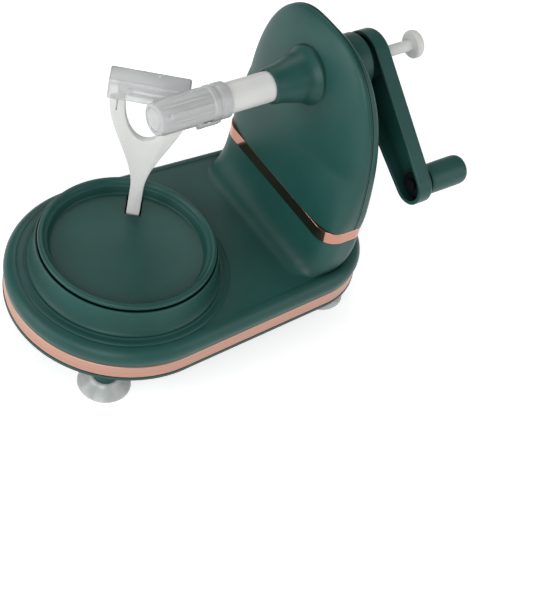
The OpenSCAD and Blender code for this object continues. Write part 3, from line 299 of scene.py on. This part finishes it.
# Tower band: a polished rose-gold strip of anodised aluminium, bent to the outline of the tower.
# It is trapped between the foot of the tower and its two covers.
polished_rose = bpy.data.materials.new("polished_rose_anodised_aluminium")
polished_rose.use_nodes = True
tree = polished_rose.node_tree
shader = tree.nodes["Principled BSDF"]
shader.inputs["Metallic"].default_value = 1.0
spot = add(tree, "ShaderNodeTexCoord")
cloud = add(tree, "ShaderNodeTexNoise", [("Vector", spot.outputs["Object"])], Scale=1 / 0.006, Detail=2.0)
tint = add(tree, "ShaderNodeValToRGB", [("Fac", cloud.outputs["Fac"])])
tint.color_ramp.elements[0].color = linear("#b78472")
tint.color_ramp.elements[1].color = linear("#c3917e")
tree.links.new(tint.outputs["Color"], shader.inputs["Base Color"])
gloss = add(tree, "ShaderNodeMapRange", [("Value", cloud.outputs["Fac"])], To_Min=0.06, To_Max=0.12)
tree.links.new(gloss.outputs["Result"], shader.inputs["Roughness"])

bm = bmesh.new()
strip = [(TOWER_BAND_LOW + 0.1, 1.5), (TOWER_BAND_LOW + 0.1, 0.12), (TOWER_BAND_LOW + 0.22, 0),
         (TOWER_BAND_TOP - 0.22, 0), (TOWER_BAND_TOP - 0.1, 0.12), (TOWER_BAND_TOP - 0.1, 1.5)]
loops = skin(bm, [tower_ring(bm, z, inset) for z, inset in strip])
bmesh.ops.bridge_loops(bm, edges=loops[-1] + loops[0])
seat(bm, "tower_trim_band", polished_rose, "base", ["tower_band"])


# Tower covers: two hollow halves in green ABS that meet on a tongue at the seam. The front half carries the trumpet
# boss of the spindle and the rear half the short boss behind it. Four screws from the back pull them together.
SEAM_X, SEAM_LEAN = 113.5, tan(radians(2.9))
TOWER_TOP, TOWER_WALL, TOWER_BOXY = 182, 1.6, 4.5
ARCH_Z, ARCH_SWELL, ARCH_POWER, STRAIGHT_SHARE = 90, 1.5, 0.8, 0.12
SPINDLE_Z, BOSS_OPENING, BUSH_SEAT = 149.3, 14, 11.05
TO_X = Matrix.Rotation(radians(90), 4, "Y")
ALONG_X = Matrix.Translation((0, 0, SPINDLE_Z)) @ TO_X


def seam_at(z):
    """Where the leaning joint of the two covers stands at a height."""
    return SEAM_X - SEAM_LEAN * max(0, z - TOWER_BAND_TOP)


def arch_row(level):
    """Half width and height of the tower at a level from 0 at its band to 1 at its top."""
    if level < STRAIGHT_SHARE:
        z = TOWER_BAND_TOP + 0.05 + (ARCH_Z - TOWER_BAND_TOP - 0.05) * level / STRAIGHT_SHARE
        return TOWER_HALF + ARCH_SWELL * (1 - ((ARCH_Z - z) / (ARCH_Z - TOWER_BAND_TOP)) ** 2), z
    turn = radians(90) * (level - STRAIGHT_SHARE) / (1 - STRAIGHT_SHARE)
    return ((TOWER_HALF + ARCH_SWELL) * max(0, cos(turn)) ** ARCH_POWER,
            ARCH_Z + (TOWER_TOP - ARCH_Z) * sin(turn) ** ARCH_POWER)


def open_round_spindle(bm, radius):
    """Takes away the skin that the boss covers, so that the spindle passes through."""
    hidden = [f for f in bm.faces if all((v.co.yz - Vector((0, SPINDLE_Z))).length < radius for v in f.verts)]
    bmesh.ops.delete(bm, geom=hidden, context="FACES")


def tower_half(bm, side, depth, near_power, round_by, round_rate, gap):
    """A shell of half hoops that narrow upward in a high arch and grow rounder: side -1 is the front, 1 the rear."""
    sheet = bmesh.ops.create_grid(bm, x_segments=96, y_segments=75, size=1)["verts"]
    for v in sheet:
        turn = pi * (v.co.x + 1) / 2
        half, z = arch_row((v.co.y + 1) / 2)
        level = (z - TOWER_BAND_TOP) / (TOWER_TOP - TOWER_BAND_TOP)
        out = depth * max(0, 1 - level ** near_power) ** 0.5
        across, power = cos(turn), 2 / (TOWER_BOXY - round_by * min(1, round_rate * level))
        v.co = (seam_at(z) + side * (gap + max(0, out - gap) * max(0, sin(turn)) ** power),
                half * (1 if across > 0 else -1) * abs(across) ** power, z)
    bmesh.ops.remove_doubles(bm, verts=bm.verts, dist=WELD)
    open_round_spindle(bm, BOSS_OPENING)
    bmesh.ops.recalc_face_normals(bm, faces=bm.faces)
    outer = set(bm.verts)
    bmesh.ops.solidify(bm, geom=bm.faces[:], thickness=TOWER_WALL)
    for v in bm.verts:
        if v not in outer:
            v.co.x = seam_at(v.co.z) + side * max(gap, side * (v.co.x - seam_at(v.co.z)))


def join(bm, part, place=Matrix()):
    """Adds a loose part to a piece."""
    part.transform(place)
    mesh = bpy.data.meshes.new("part")
    part.to_mesh(mesh)
    part.free()
    bm.from_mesh(mesh)
    bpy.data.meshes.remove(mesh)


bm = bmesh.new()
tower_half(bm, -1, SEAM_X - TOWER_FRONT, near_power=1.3, round_by=2.44, round_rate=2.9, gap=0.1)
boss = bmesh.new()
turned(boss, [(8.8, 74.4, 0.15), (9.6, 74.4, 0.3), (10.1, 75.2, 0.4), (10.4, 79, 2), (11.1, 83.4, 2), (12.3, 87.8, 1.5),
              (13, 90.8, 1), (13.5, 93.8, 1), (14.4, 96, 0.9), (15.8, 97.8, 0.9), (17, 99.2, 0.5), (17.4, 102.6, 0),
              (BUSH_SEAT, 102.6, 0), (BUSH_SEAT, 91.9, 0), (8.8, 91.9, 0)])
join(bm, boss, ALONG_X)
seat(bm, "tower_front_shell", green_abs, "base", ["tower_front_cover"])


def cut(bm, cutter, place=Matrix()):
    """Takes the cutter's volume out of a closed piece."""
    cutter.transform(place)
    pair = []
    for source in (bm, cutter):
        bmesh.ops.recalc_face_normals(source, faces=source.faces)
        mesh = bpy.data.meshes.new("cut")
        source.to_mesh(mesh)
        source.free()
        pair.append(bpy.data.objects.new("cut", mesh))
        bpy.context.scene.collection.objects.link(pair[-1])
    taken = pair[0].modifiers.new("taken", "BOOLEAN")
    taken.object, taken.operation, taken.solver = pair[1], "DIFFERENCE", "EXACT"
    left = bmesh.new()
    left.from_object(pair[0], bpy.context.evaluated_depsgraph_get())
    for held in pair:
        bpy.data.objects.remove(held)
    return left


bm = bmesh.new()
tower_half(bm, 1, TOWER_REAR - SEAM_X, near_power=5, round_by=1.7, round_rate=1, gap=1.3)
# A tongue fills the seam: its crown stands between two fine grooves.
TONGUE_AIM = Vector((0, 0, 118))
tongue = bmesh.new()
lanes = ((-0.1, 0.7), (0.15, 0.6), (0.25, 0.15), (0.95, 0.15), (1.05, 0.6), (1.4, 0.7))
sheet = bmesh.ops.create_grid(tongue, x_segments=len(lanes) - 1, y_segments=150, size=1)["verts"]
for v in sheet:
    shift, inset = lanes[round((v.co.x + 1) / 2 * (len(lanes) - 1))]
    half, z = arch_row(1 - abs(v.co.y))
    rim = Vector((0, half if v.co.y > 0 else -half, z))
    v.co = rim + inset * (TONGUE_AIM - rim).normalized()
    v.co.x = seam_at(z) + shift
bmesh.ops.recalc_face_normals(tongue, faces=tongue.faces)
join(bm, tongue)
# Each screw sits at the bottom of a sleeve behind a round hole.
HOLE_R, SCREW_R, SLEEVE_R = 3.1, 1.7, 3.15
for y, z in ((42.4, 92), (-42.4, 92), (33.4, 136), (-33.4, 136)):
    hole = bmesh.new()
    bmesh.ops.create_cone(hole, cap_ends=True, segments=32, radius1=HOLE_R, radius2=HOLE_R, depth=24)
    bm = cut(bm, hole, Matrix.Translation((seam_at(z) + 16, y, z)) @ TO_X)
    sleeve = bmesh.new()
    start = seam_at(z) + 3.7
    turned(sleeve, [(SCREW_R, start, 0), (SLEEVE_R, start, 0), (SLEEVE_R, start + 4.8, 0), (SCREW_R, start + 0.3, 0)],
           steps=32)
    join(bm, sleeve, Matrix.Translation((0, y, z)) @ TO_X)
boss = bmesh.new()
turned(boss, [(17.2, 116, 0), (17.2, 119.5, 0.6), (16.7, 122, 0.8), (16.3, 125, 0.6), (16.3, 133.8, 0.3),
              (15.6, 134.6, 0.3), (BUSH_SEAT, 134.6, 0), (BUSH_SEAT, 116, 0)])
join(bm, boss, ALONG_X)
seat(bm, "tower_rear_shell", green_abs, "base", ["tower_rear_cover"])


# Gear train and bearings, in the tower and under the dish: gears and bushes moulded in natural nylon, a waxy
# off-white, on axles, plate and screws of steel. The arm's hinge, the fork and the blade are of the same steel.
natural_nylon = bpy.data.materials.new("moulded_natural_nylon")
natural_nylon.use_nodes = True
tree = natural_nylon.node_tree
shader = tree.nodes["Principled BSDF"]
shader.inputs["IOR"].default_value = 1.53
shader.inputs["Subsurface Weight"].default_value = 0.15
shader.inputs["Subsurface Scale"].default_value = 0.002
spot = add(tree, "ShaderNodeTexCoord")
flow = add(tree, "ShaderNodeTexNoise", [("Vector", spot.outputs["Object"])], Scale=1 / 0.005, Detail=3.0)
tint = add(tree, "ShaderNodeValToRGB", [("Fac", flow.outputs["Fac"])])
tint.color_ramp.elements[0].color = linear("#ddd8c6")
tint.color_ramp.elements[1].color = linear("#ece8da")
tree.links.new(tint.outputs["Color"], shader.inputs["Base Color"])
gloss = add(tree, "ShaderNodeMapRange", [("Value", flow.outputs["Fac"])], To_Min=0.35, To_Max=0.5)
tree.links.new(gloss.outputs["Result"], shader.inputs["Roughness"])
dress(natural_nylon, "front_bush", "rear_bush", "spindle_gear", "spindle_spacer", "idler_gear_upper",
      "idler_gear_lower", "drive_gear", "worm_wheel", "turntable_hub", "thrust_washer")

# Stainless steel with a fine ground finish: grey, with faint lines that spread its highlights.
ground_steel = bpy.data.materials.new("ground_stainless_steel")
ground_steel.use_nodes = True
tree = ground_steel.node_tree
shader = tree.nodes["Principled BSDF"]
shader.inputs["Metallic"].default_value = 1.0
spot = add(tree, "ShaderNodeTexCoord")
lines = add(tree, "ShaderNodeMapping", [("Vector", spot.outputs["Object"])])
lines.inputs["Scale"].default_value = (1 / 0.0004, 1 / 0.0004, 60)
ground = add(tree, "ShaderNodeTexNoise", [("Vector", lines.outputs["Vector"])], Scale=1.0, Detail=2.0)
tint = add(tree, "ShaderNodeValToRGB", [("Fac", ground.outputs["Fac"])])
tint.color_ramp.elements[0].color = linear("#a9adaf")
tint.color_ramp.elements[1].color = linear("#c6c9ca")
tree.links.new(tint.outputs["Color"], shader.inputs["Base Color"])
gloss = add(tree, "ShaderNodeMapRange", [("Value", ground.outputs["Fac"])], To_Min=0.22, To_Max=0.36)
tree.links.new(gloss.outputs["Result"], shader.inputs["Roughness"])
dress(ground_steel, "gear_plate", "idler_axles", "gear_plate_screws", "plate_screws", "tower_screws",
      "turntable_screw", "drive_shaft", "worm", "dish_screws", "arm_bracket", "arm_pivot_pin", "arm_spring",
      "crank_setscrew", "fruit_fork", "peeler_blade")

# Steel painted near-black as shade: the handle's screw sits deep in the crank's channel, and its dull, near-black
# colour stands in for the shade there.
painted_shade_screw_steel = bpy.data.materials.new("painted_shade_black_steel")
painted_shade_screw_steel.use_nodes = True
tree = painted_shade_screw_steel.node_tree
shader = tree.nodes["Principled BSDF"]
shader.inputs["Metallic"].default_value = 0.8
spot = add(tree, "ShaderNodeTexCoord")
stain = add(tree, "ShaderNodeTexNoise", [("Vector", spot.outputs["Object"])], Scale=1 / 0.002, Detail=2.0)
tint = add(tree, "ShaderNodeValToRGB", [("Fac", stain.outputs["Fac"])])
tint.color_ramp.elements[0].color = linear("#15181a")
tint.color_ramp.elements[1].color = linear("#24282a")
tree.links.new(tint.outputs["Color"], shader.inputs["Base Color"])
gloss = add(tree, "ShaderNodeMapRange", [("Value", stain.outputs["Fac"])], To_Min=0.4, To_Max=0.55)
tree.links.new(gloss.outputs["Result"], shader.inputs["Roughness"])
dress(painted_shade_screw_steel, "handle_screw")


# Spindle: a long white ABS tube that turns in both bushes and carries the fork at its front. Flats at its rear drive
# the gear and take the crank.
white_abs = bpy.data.materials.new("moulded_white_ABS")
white_abs.use_nodes = True
tree = white_abs.node_tree
shader = tree.nodes["Principled BSDF"]
shader.inputs["IOR"].default_value = 1.53
spot = add(tree, "ShaderNodeTexCoord")
drift = add(tree, "ShaderNodeTexNoise", [("Vector", spot.outputs["Object"])], Scale=1 / 0.025, Detail=2.0)
tint = add(tree, "ShaderNodeValToRGB", [("Fac", drift.outputs["Fac"])])
tint.color_ramp.elements[0].position, tint.color_ramp.elements[0].color = 0.3, linear("#d6d7d5")
tint.color_ramp.elements[1].position, tint.color_ramp.elements[1].color = 0.7, linear("#dcdddb")
tree.links.new(tint.outputs["Color"], shader.inputs["Base Color"])
grain = add(tree, "ShaderNodeTexNoise", [("Vector", spot.outputs["Object"])], Scale=1 / 0.0008, Detail=2.0)
gloss = add(tree, "ShaderNodeMapRange", [("Value", grain.outputs["Fac"])], To_Min=0.34, To_Max=0.44)
tree.links.new(gloss.outputs["Result"], shader.inputs["Roughness"])
relief = add(tree, "ShaderNodeBump", [("Height", grain.outputs["Fac"])], Strength=0.04, Distance=0.0001)
tree.links.new(relief.outputs["Normal"], shader.inputs["Normal"])

CRANK_DROP = radians(34.5)
ROD_BORE, NOSE_R, TUBE_R, TUBE_FRONT, TUBE_REAR = 3.36, 7.2, 8.4, 38.7, 146.4
FLAT_START, FLAT_LENGTH, FLAT_R, FLAT_CUT = 108.1, 39.4, 7.2, 5


def block(size, middle=(0, 0, 0)):
    """A loose box."""
    box = bmesh.new()
    bmesh.ops.create_cube(box, size=1)
    bmesh.ops.scale(box, verts=box.verts, vec=size)
    bmesh.ops.translate(box, verts=box.verts, vec=middle)
    return box


bm = bmesh.new()
turned(bm, [(ROD_BORE, TUBE_FRONT, 0), (NOSE_R, TUBE_FRONT, 0.4), (NOSE_R, TUBE_FRONT + 5, 0),
            (TUBE_R, TUBE_FRONT + 5, 0.3), (TUBE_R, TUBE_REAR, 0.3), (ROD_BORE, TUBE_REAR, 0)], steps=128)
bm.transform(ALONG_X)
for side in (0, pi):
    flat = block((FLAT_LENGTH, FLAT_CUT, 20), (FLAT_START + FLAT_LENGTH / 2, FLAT_R + FLAT_CUT / 2, 0))
    bm = cut(bm, flat, Matrix.Translation((0, 0, SPINDLE_Z)) @ Matrix.Rotation(CRANK_DROP + side, 4, "X"))
seat(bm, "spindle_shaft", white_abs, "crank", ["spindle_tube"])


# Prong cap: a frosted polypropylene sleeve over the fork, ribbed along its length, with two collar rings and a
# small finger tab. It grips the front of the spindle and is pulled off forward.
frosted_pp = bpy.data.materials.new("frosted_polypropylene")
frosted_pp.use_nodes = True
tree = frosted_pp.node_tree
shader = tree.nodes["Principled BSDF"]
shader.inputs["IOR"].default_value = 1.49
shader.inputs["Transmission Weight"].default_value = 0.6
spot = add(tree, "ShaderNodeTexCoord")
milk = add(tree, "ShaderNodeTexNoise", [("Vector", spot.outputs["Object"])], Scale=1 / 0.008, Detail=2.0)
tint = add(tree, "ShaderNodeValToRGB", [("Fac", milk.outputs["Fac"])])
tint.color_ramp.elements[0].color = linear("#e4e6e6")
tint.color_ramp.elements[1].color = linear("#f0f2f2")
tree.links.new(tint.outputs["Color"], shader.inputs["Base Color"])
gloss = add(tree, "ShaderNodeMapRange", [("Value", milk.outputs["Fac"])], To_Min=0.2, To_Max=0.3)
tree.links.new(gloss.outputs["Result"], shader.inputs["Roughness"])

RIB_PITCH, RIB_SHARE, RIB_HEIGHT, RIB_POWER = radians(30), 0.14, 0.5, 0.6
bm = bmesh.new()
turned(bm, [(0, 3.5, 0), (5.6, 3.5, 0), (5.8, 3.8, 0), (6.2, 3.8, 0), (6.4, 3.3, 0), (8.2, 3.3, 0.2), (8.8, 4, 0.3),
            (8.85, 5.2, 0), (8.9, 6.5, 0), (9.0, 20, 0), (9.1, 32.7, 0), (9.2, 35.3, 0), (9.9, 36.1, 0.2),
            (9.9, 38.7, 0.2), (9.3, 39.2, 0.1), (9.3, 40.7, 0.1), (9.9, 41.2, 0.2), (9.9, 46.3, 0.3), (8.46, 46.3, 0),
            (8.46, 43.5, 0), (7.26, 43.5, 0), (7.26, 4.8, 0.3), (0, 4.8, 0)], steps=288)
for v in bm.verts:
    out = v.co.xy.length
    if 6 < v.co.z < 33.5 and out > 8.6:
        beside = abs((v.co.xy.angle_signed(Vector((1, 0))) / RIB_PITCH) % 1 - 0.5)
        v.co.xy *= 1 + RIB_HEIGHT * max(0, 1 - beside / RIB_SHARE) ** RIB_POWER / out
bm.transform(ALONG_X)
# The tab springs from its front root, low on the near side, and its free end points to the tower.
TAB_TURN = Matrix.Translation((0, 0, SPINDLE_Z)) @ Matrix.Rotation(radians(33), 4, "X")
for length, thick, x, y in ((3, 2.4, 27.5, -9.8), (13, 1, 32.5, -10.6)):
    tab = block((length, thick, 5))
    bmesh.ops.bevel(tab, geom=tab.edges[:], offset=0.35, segments=3, profile=0.5, affect="EDGES", material=-1)
    join(bm, tab, TAB_TURN @ Matrix.Translation((x, y, 0)))
seat(bm, "frosted_prong_cap", frosted_pp, "fork_cap", ["prong_cap"])


# Crank arm: a green ABS lever, open like a channel toward the tower, with a round hub on the spindle's flats and a
# boss for the handle. A set screw in the hub holds it.
CRANK_X, CRANK_OUT, CRANK_LEN, CRANK_FLOOR, CRANK_WALL, CRANK_ROLL = 138, 148, 75, 145.5, 2.2, 2.4
CRANK_HUB_R, CRANK_TIP_R, BOSS_TOP = 16, 11, 145.6
SPINDLE_BORE, ROD_HOLE, HANDLE_BORE = 8.45, 3.7, 5.06
HANDLE_Y, HANDLE_Z = -CRANK_LEN * cos(CRANK_DROP), SPINDLE_Z - CRANK_LEN * sin(CRANK_DROP)
AROUND_HANDLE = Matrix.Translation((0, HANDLE_Y, HANDLE_Z)) @ TO_X
LEVER = Matrix(((0, 0, 1, 0), (-cos(CRANK_DROP), sin(CRANK_DROP), 0, 0),
                (-sin(CRANK_DROP), -cos(CRANK_DROP), 0, SPINDLE_Z), (0, 0, 0, 1)))
bm = bmesh.new()
walls = [(CRANK_FLOOR, -CRANK_WALL), (CRANK_X + 0.3, -CRANK_WALL), (CRANK_X, 0.3 - CRANK_WALL), (CRANK_X, -0.4),
         (CRANK_X + 0.4, 0), (CRANK_OUT - CRANK_ROLL, 0)]
for step in range(1, 7):
    turn = radians(90 * step / 6)
    walls.append((CRANK_OUT - CRANK_ROLL + CRANK_ROLL * sin(turn), -CRANK_ROLL * (1 - cos(turn))))
walls.append((CRANK_OUT, -CRANK_ROLL - 0.5))
loops = skin(bm, [stadium(bm, x, CRANK_HUB_R + out, CRANK_TIP_R + out, CRANK_LEN, 0, 128) for x, out in walls])
bmesh.ops.contextual_create(bm, geom=loops[0])
bmesh.ops.contextual_create(bm, geom=loops[-1])
bm.transform(LEVER)
for radius, place in ((ROD_HOLE, ALONG_X), (HANDLE_BORE, AROUND_HANDLE)):
    bore = bmesh.new()
    bmesh.ops.create_cone(bore, cap_ends=True, segments=64, radius1=radius, radius2=radius, depth=10)
    bmesh.ops.translate(bore, verts=bore.verts, vec=(0, 0, CRANK_OUT - 1))
    bm = cut(bm, bore, place)
hub = bmesh.new()
turned(hub, [(SPINDLE_BORE, 135.1, 0), (12, 135.1, 0.3), (12, BOSS_TOP, 0), (SPINDLE_BORE, BOSS_TOP, 0)], steps=96)
join(bm, hub, ALONG_X)
boss = bmesh.new()
turned(boss, [(HANDLE_BORE, 143.2, 0), (8, 143.2, 0.3), (8, BOSS_TOP, 0), (HANDLE_BORE, BOSS_TOP, 0)], steps=64)
join(bm, boss, AROUND_HANDLE)
seat(bm, "crank_lever", green_abs, "crank", ["crank_arm"])


# Handle grip: a green ABS barrel with a rounded end and a short neck that turns freely in the crank's boss.
# A screw and washer hold it from inside the channel.
bm = bmesh.new()
turned(bm, [(1.5, 143, 0), (5, 143, 0), (5, 148.4, 0), (6.2, 148.4, 0), (6.2, 150, 0), (7.9, 150.1, 0.3),
            (8.3, 151.2, 0.8), (8.5, 158, 3), (8.5, 172.5, 1.5), (8.1, 174.9, 1), (7, 176.1, 0.6), (5, 176.5, 0.5),
            (0, 176.5, 0), (0, 160, 0), (1.5, 160, 0)], steps=128)
seat(bm, "handle_barrel", green_abs, "handle", ["handle_grip"], AROUND_HANDLE)


# Push rod and knob: a white ABS rod that slides through the hollow spindle to the fork.
# A round button is pressed on its rear end, behind the crank.
ROD_R, ROD_FRONT, ROD_REAR, KNOB_BORE = 3.3, 35.7, 174.9, 3.33
bm = bmesh.new()
turned(bm, [(0, ROD_FRONT, 0), (ROD_R, ROD_FRONT, 0.5), (ROD_R, ROD_REAR, 0), (0, ROD_REAR, 0)], steps=64)
seat(bm, "push_rod_shaft", white_abs, "ejector", ["push_rod"], ALONG_X)
bm = bmesh.new()
turned(bm, [(KNOB_BORE, 172.9, 0), (7, 173.2, 0.5), (8.1, 174.2, 0.6), (8.1, 176.8, 0.8), (7, 178.1, 0.7),
            (4.2, 178.5, 1.2), (0, 178.2, 0), (0, 175, 0), (KNOB_BORE, 175, 0)], steps=96)
seat(bm, "push_button", white_abs, "ejector", ["push_knob"], ALONG_X)


# Dish: a round green ABS tray with a raised rim and a slot through which the peeling arm leans in. It is screwed to
# the nylon hub of the turntable.
ARM_TURN = Matrix.Rotation(radians(53.5), 4, "Z")
bm = bmesh.new()
turned(bm, [(10, 49.1, 0), (19, 49.1, 0), (19, 52.3, 0), (44.5, 52.3, 0.8), (45.8, 53.6, 0.5), (45.8, 58.2, 0),
            (49.2, 58.6, 0.4), (50, 59.6, 0.4), (50, 61.1, 0.7), (49.1, 62, 0.6), (47.2, 62, 0.6), (46.2, 60.2, 0.4),
            (44.6, 59.6, 0.5), (43.6, 56.5, 0.9), (43, 54.5, 0.9), (0, 54.5, 0), (0, 51.6, 0), (10, 51.6, 0)],
       steps=192)
slot = block((16.6, 9.4, 6), (34.9, 0, 53.5))
upright = [e for e in slot.edges if abs(e.verts[0].co.z - e.verts[1].co.z) > 1]
bmesh.ops.bevel(slot, geom=upright, offset=1, segments=4, profile=0.5, affect="EDGES", material=-1)
bm = cut(bm, slot, ARM_TURN)
seat(bm, "turning_dish", green_abs, "turntable", ["dish"])


# Peeling arm: a flat white ABS lever with a slim stem that swells to two prongs round a rounded opening. It hinges on
# a steel pin under the dish, where a coil spring presses it inward.
PIVOT_R, PIVOT_Z, ARM_T, ARM_LEAN = 30.25, 46, 4.5, radians(2.2)
ARM = (ARM_TURN @ Matrix.Translation((PIVOT_R, 0, PIVOT_Z)) @ Matrix.Rotation(ARM_LEAN, 4, "Y")
       @ Matrix.Translation((-PIVOT_R, 0, -PIVOT_Z)))
STEM_HALF, PRONG_HALF, OPENING_HALF, TIP_HALF = 3.75, 22, 13.4, 18.2
SWELL_LOW, SWELL_HIGH, CROTCH_Z, SHOULDER_Z, TIP_Z = 72.9, 134, 107.9, 134.2, 142
BLADE_Z, BLADE_BORE, PIN_BORE, EYE_R = 138.6, 1.26, 1.56, 3.6
ALONG_Y = Matrix.Rotation(radians(90), 4, "X")
outline = []
for step in range(41):
    z = PIVOT_Z + (SHOULDER_Z - PIVOT_Z) * step / 40
    t = min(1, max(0, (z - SWELL_LOW) / (SWELL_HIGH - SWELL_LOW)))
    outline.append((STEM_HALF + (PRONG_HALF - STEM_HALF) * t * t * (3 - 2 * t), z))
outline += [(TIP_HALF, SHOULDER_Z + 0.3), (TIP_HALF, TIP_Z), (OPENING_HALF, TIP_Z)]
for step in range(25):
    turn = radians(90 * step / 24)
    outline.append((OPENING_HALF * cos(turn), SHOULDER_Z - (SHOULDER_Z - CROTCH_Z) * sin(turn)))
bm = bmesh.new()
right = [bm.verts.new((PIVOT_R - ARM_T / 2, y, z)) for y, z in outline]
left = [bm.verts.new((PIVOT_R - ARM_T / 2, -y, z)) for y, z in outline[-2::-1]]
plate = bm.faces.new(right + left)
raised = bmesh.ops.extrude_face_region(bm, geom=[plate])["geom"]
bmesh.ops.translate(bm, verts=[g for g in raised if isinstance(g, bmesh.types.BMVert)], vec=(ARM_T, 0, 0))
bmesh.ops.recalc_face_normals(bm, faces=bm.faces)
edges = [e for e in bm.edges if abs(e.verts[0].co.x - e.verts[1].co.x) < 0.01]
bmesh.ops.bevel(bm, geom=edges, offset=0.6, segments=3, profile=0.5, affect="EDGES", material=-1, clamp_overlap=True)
bore = bmesh.new()
bmesh.ops.create_cone(bore, cap_ends=True, segments=48, radius1=BLADE_BORE, radius2=BLADE_BORE, depth=60)
bm = cut(bm, bore, Matrix.Translation((PIVOT_R, 0, BLADE_Z)) @ ALONG_Y)
# A short slit is pressed into the far prong.
bm = cut(bm, block((3, 0.8, 8)), Matrix.Translation((PIVOT_R - ARM_T / 2, 17.6, 130)))
eye = bmesh.new()
turned(eye, [(PIN_BORE, -STEM_HALF, 0), (EYE_R, -STEM_HALF, 0.3), (EYE_R, STEM_HALF, 0.3), (PIN_BORE, STEM_HALF, 0)],
       steps=64)
join(bm, eye, Matrix.Translation((PIVOT_R, 0, PIVOT_Z)) @ ALONG_Y)
seat(bm, "peeling_arm", white_abs, "arm", ["peeler_arm"], ARM)


# Blade cover: a frosted polypropylene cap with a one-millimetre wall, open below.
# It slides over the blade and the tips of the prongs, and lifts straight off.
bm = block((12.6, 43.4, 12.4), (32.7, 1.9, 140.8))
bmesh.ops.delete(bm, geom=[f for f in bm.faces if f.normal.z < -0.9], context="FACES_ONLY")
edges = [e for e in bm.edges if not e.is_boundary]
bmesh.ops.bevel(bm, geom=edges, offset=1, segments=4, profile=0.5, affect="EDGES", material=-1)
bmesh.ops.recalc_face_normals(bm, faces=bm.faces)
bmesh.ops.solidify(bm, geom=bm.faces[:], thickness=1.0)
seat(bm, "blade_hood", frosted_pp, "guard", ["blade_cover"], ARM)


# Stage: a plain white floor that keeps the shadow, four soft studio lamps round the object, and the camera at the
# angle of the photograph, with its roll.
FLOOR_LIFT, AMBIENT, FLOOR_HALF = 0.5, 0.3, 8
floor_white = bpy.data.materials.new("white_sweep")
floor_white.use_nodes = True
tree = floor_white.node_tree
shader = tree.nodes["Principled BSDF"]
shader.inputs["Base Color"].default_value = linear("#f2f2f2")
shader.inputs["Roughness"].default_value = 0.9
# What the camera sees, straight, by reflection or through clear plastic, is lifted to white; bounced light is not.
rays = add(tree, "ShaderNodeLightPath")
through = add(tree, "ShaderNodeMath", [(0, rays.outputs["Is Camera Ray"]), (1, rays.outputs["Is Transmission Ray"])],
              operation="MAXIMUM")
seen = add(tree, "ShaderNodeMath", [(0, through.outputs[0]), (1, rays.outputs["Is Glossy Ray"])], operation="MAXIMUM")
lift = add(tree, "ShaderNodeMath", [(0, seen.outputs[0])], operation="MULTIPLY")
lift.inputs[1].default_value = FLOOR_LIFT
shader.inputs["Emission Color"].default_value = (1, 1, 1, 1)
tree.links.new(lift.outputs[0], shader.inputs["Emission Strength"])
bm = bmesh.new()
bmesh.ops.create_grid(bm, x_segments=2, y_segments=2, size=FLOOR_HALF)
mesh = bpy.data.meshes.new("floor")
bm.to_mesh(mesh)
bm.free()
mesh.materials.append(floor_white)
floor = bpy.data.objects.new("floor", mesh)
bpy.context.scene.collection.objects.link(floor)

world = bpy.data.worlds.new("studio")
bpy.context.scene.world = world
world.use_nodes = True
tree = world.node_tree
tree.nodes["Background"].inputs["Color"].default_value = (1, 1, 1, 1)
# The backdrop lights the object dimly, and the camera sees it as white.
rays = add(tree, "ShaderNodeLightPath")
backdrop = add(tree, "ShaderNodeMath", [(0, rays.outputs["Is Camera Ray"])], operation="MAXIMUM")
backdrop.inputs[1].default_value = AMBIENT
tree.links.new(backdrop.outputs[0], tree.nodes["Background"].inputs["Strength"])

LAMP_AIM = Vector((0, 0, 0.08))
for name, place, size, power in (("key", (-0.85, -0.8, 0.75), 0.8, 8), ("low", (-1.25, 0.3, 0.5), 0.9, 8),
                                 ("fill", (0.7, -0.9, 0.6), 0.9, 4), ("back", (0.3, 1.0, 1.2), 0.8, 4)):
    lamp = bpy.data.lights.new(name, "AREA")
    lamp.size, lamp.energy = size, power
    holder = bpy.data.objects.new(name, lamp)
    bpy.context.scene.collection.objects.link(holder)
    holder.location = place
    holder.rotation_euler = (LAMP_AIM - Vector(place)).to_track_quat("-Z", "Y").to_euler()

CAMERA_PLACE, CAMERA_ROLL = Vector((-329.6, -442, 631.7)), radians(15.8)
lens = bpy.data.cameras.new("camera")
lens.lens, lens.sensor_width, lens.clip_end = 84.4, 36, 20
camera = bpy.data.objects.new("camera", lens)
bpy.context.scene.collection.objects.link(camera)
right, up = Vector((0.7022, -0.7120, 0)), Vector((0.5228, 0.5156, 0.6788))
back = Vector((-0.4833, -0.4766, 0.7343))
across, above = cos(CAMERA_ROLL) * right + sin(CAMERA_ROLL) * up, cos(CAMERA_ROLL) * up - sin(CAMERA_ROLL) * right
turn = Matrix((across, above, back)).transposed()
camera.matrix_world = Matrix.Translation(home @ CAMERA_PLACE) @ turn.to_4x4()
bpy.context.scene.camera = camera
bpy.context.scene.view_settings.view_transform = "Standard"
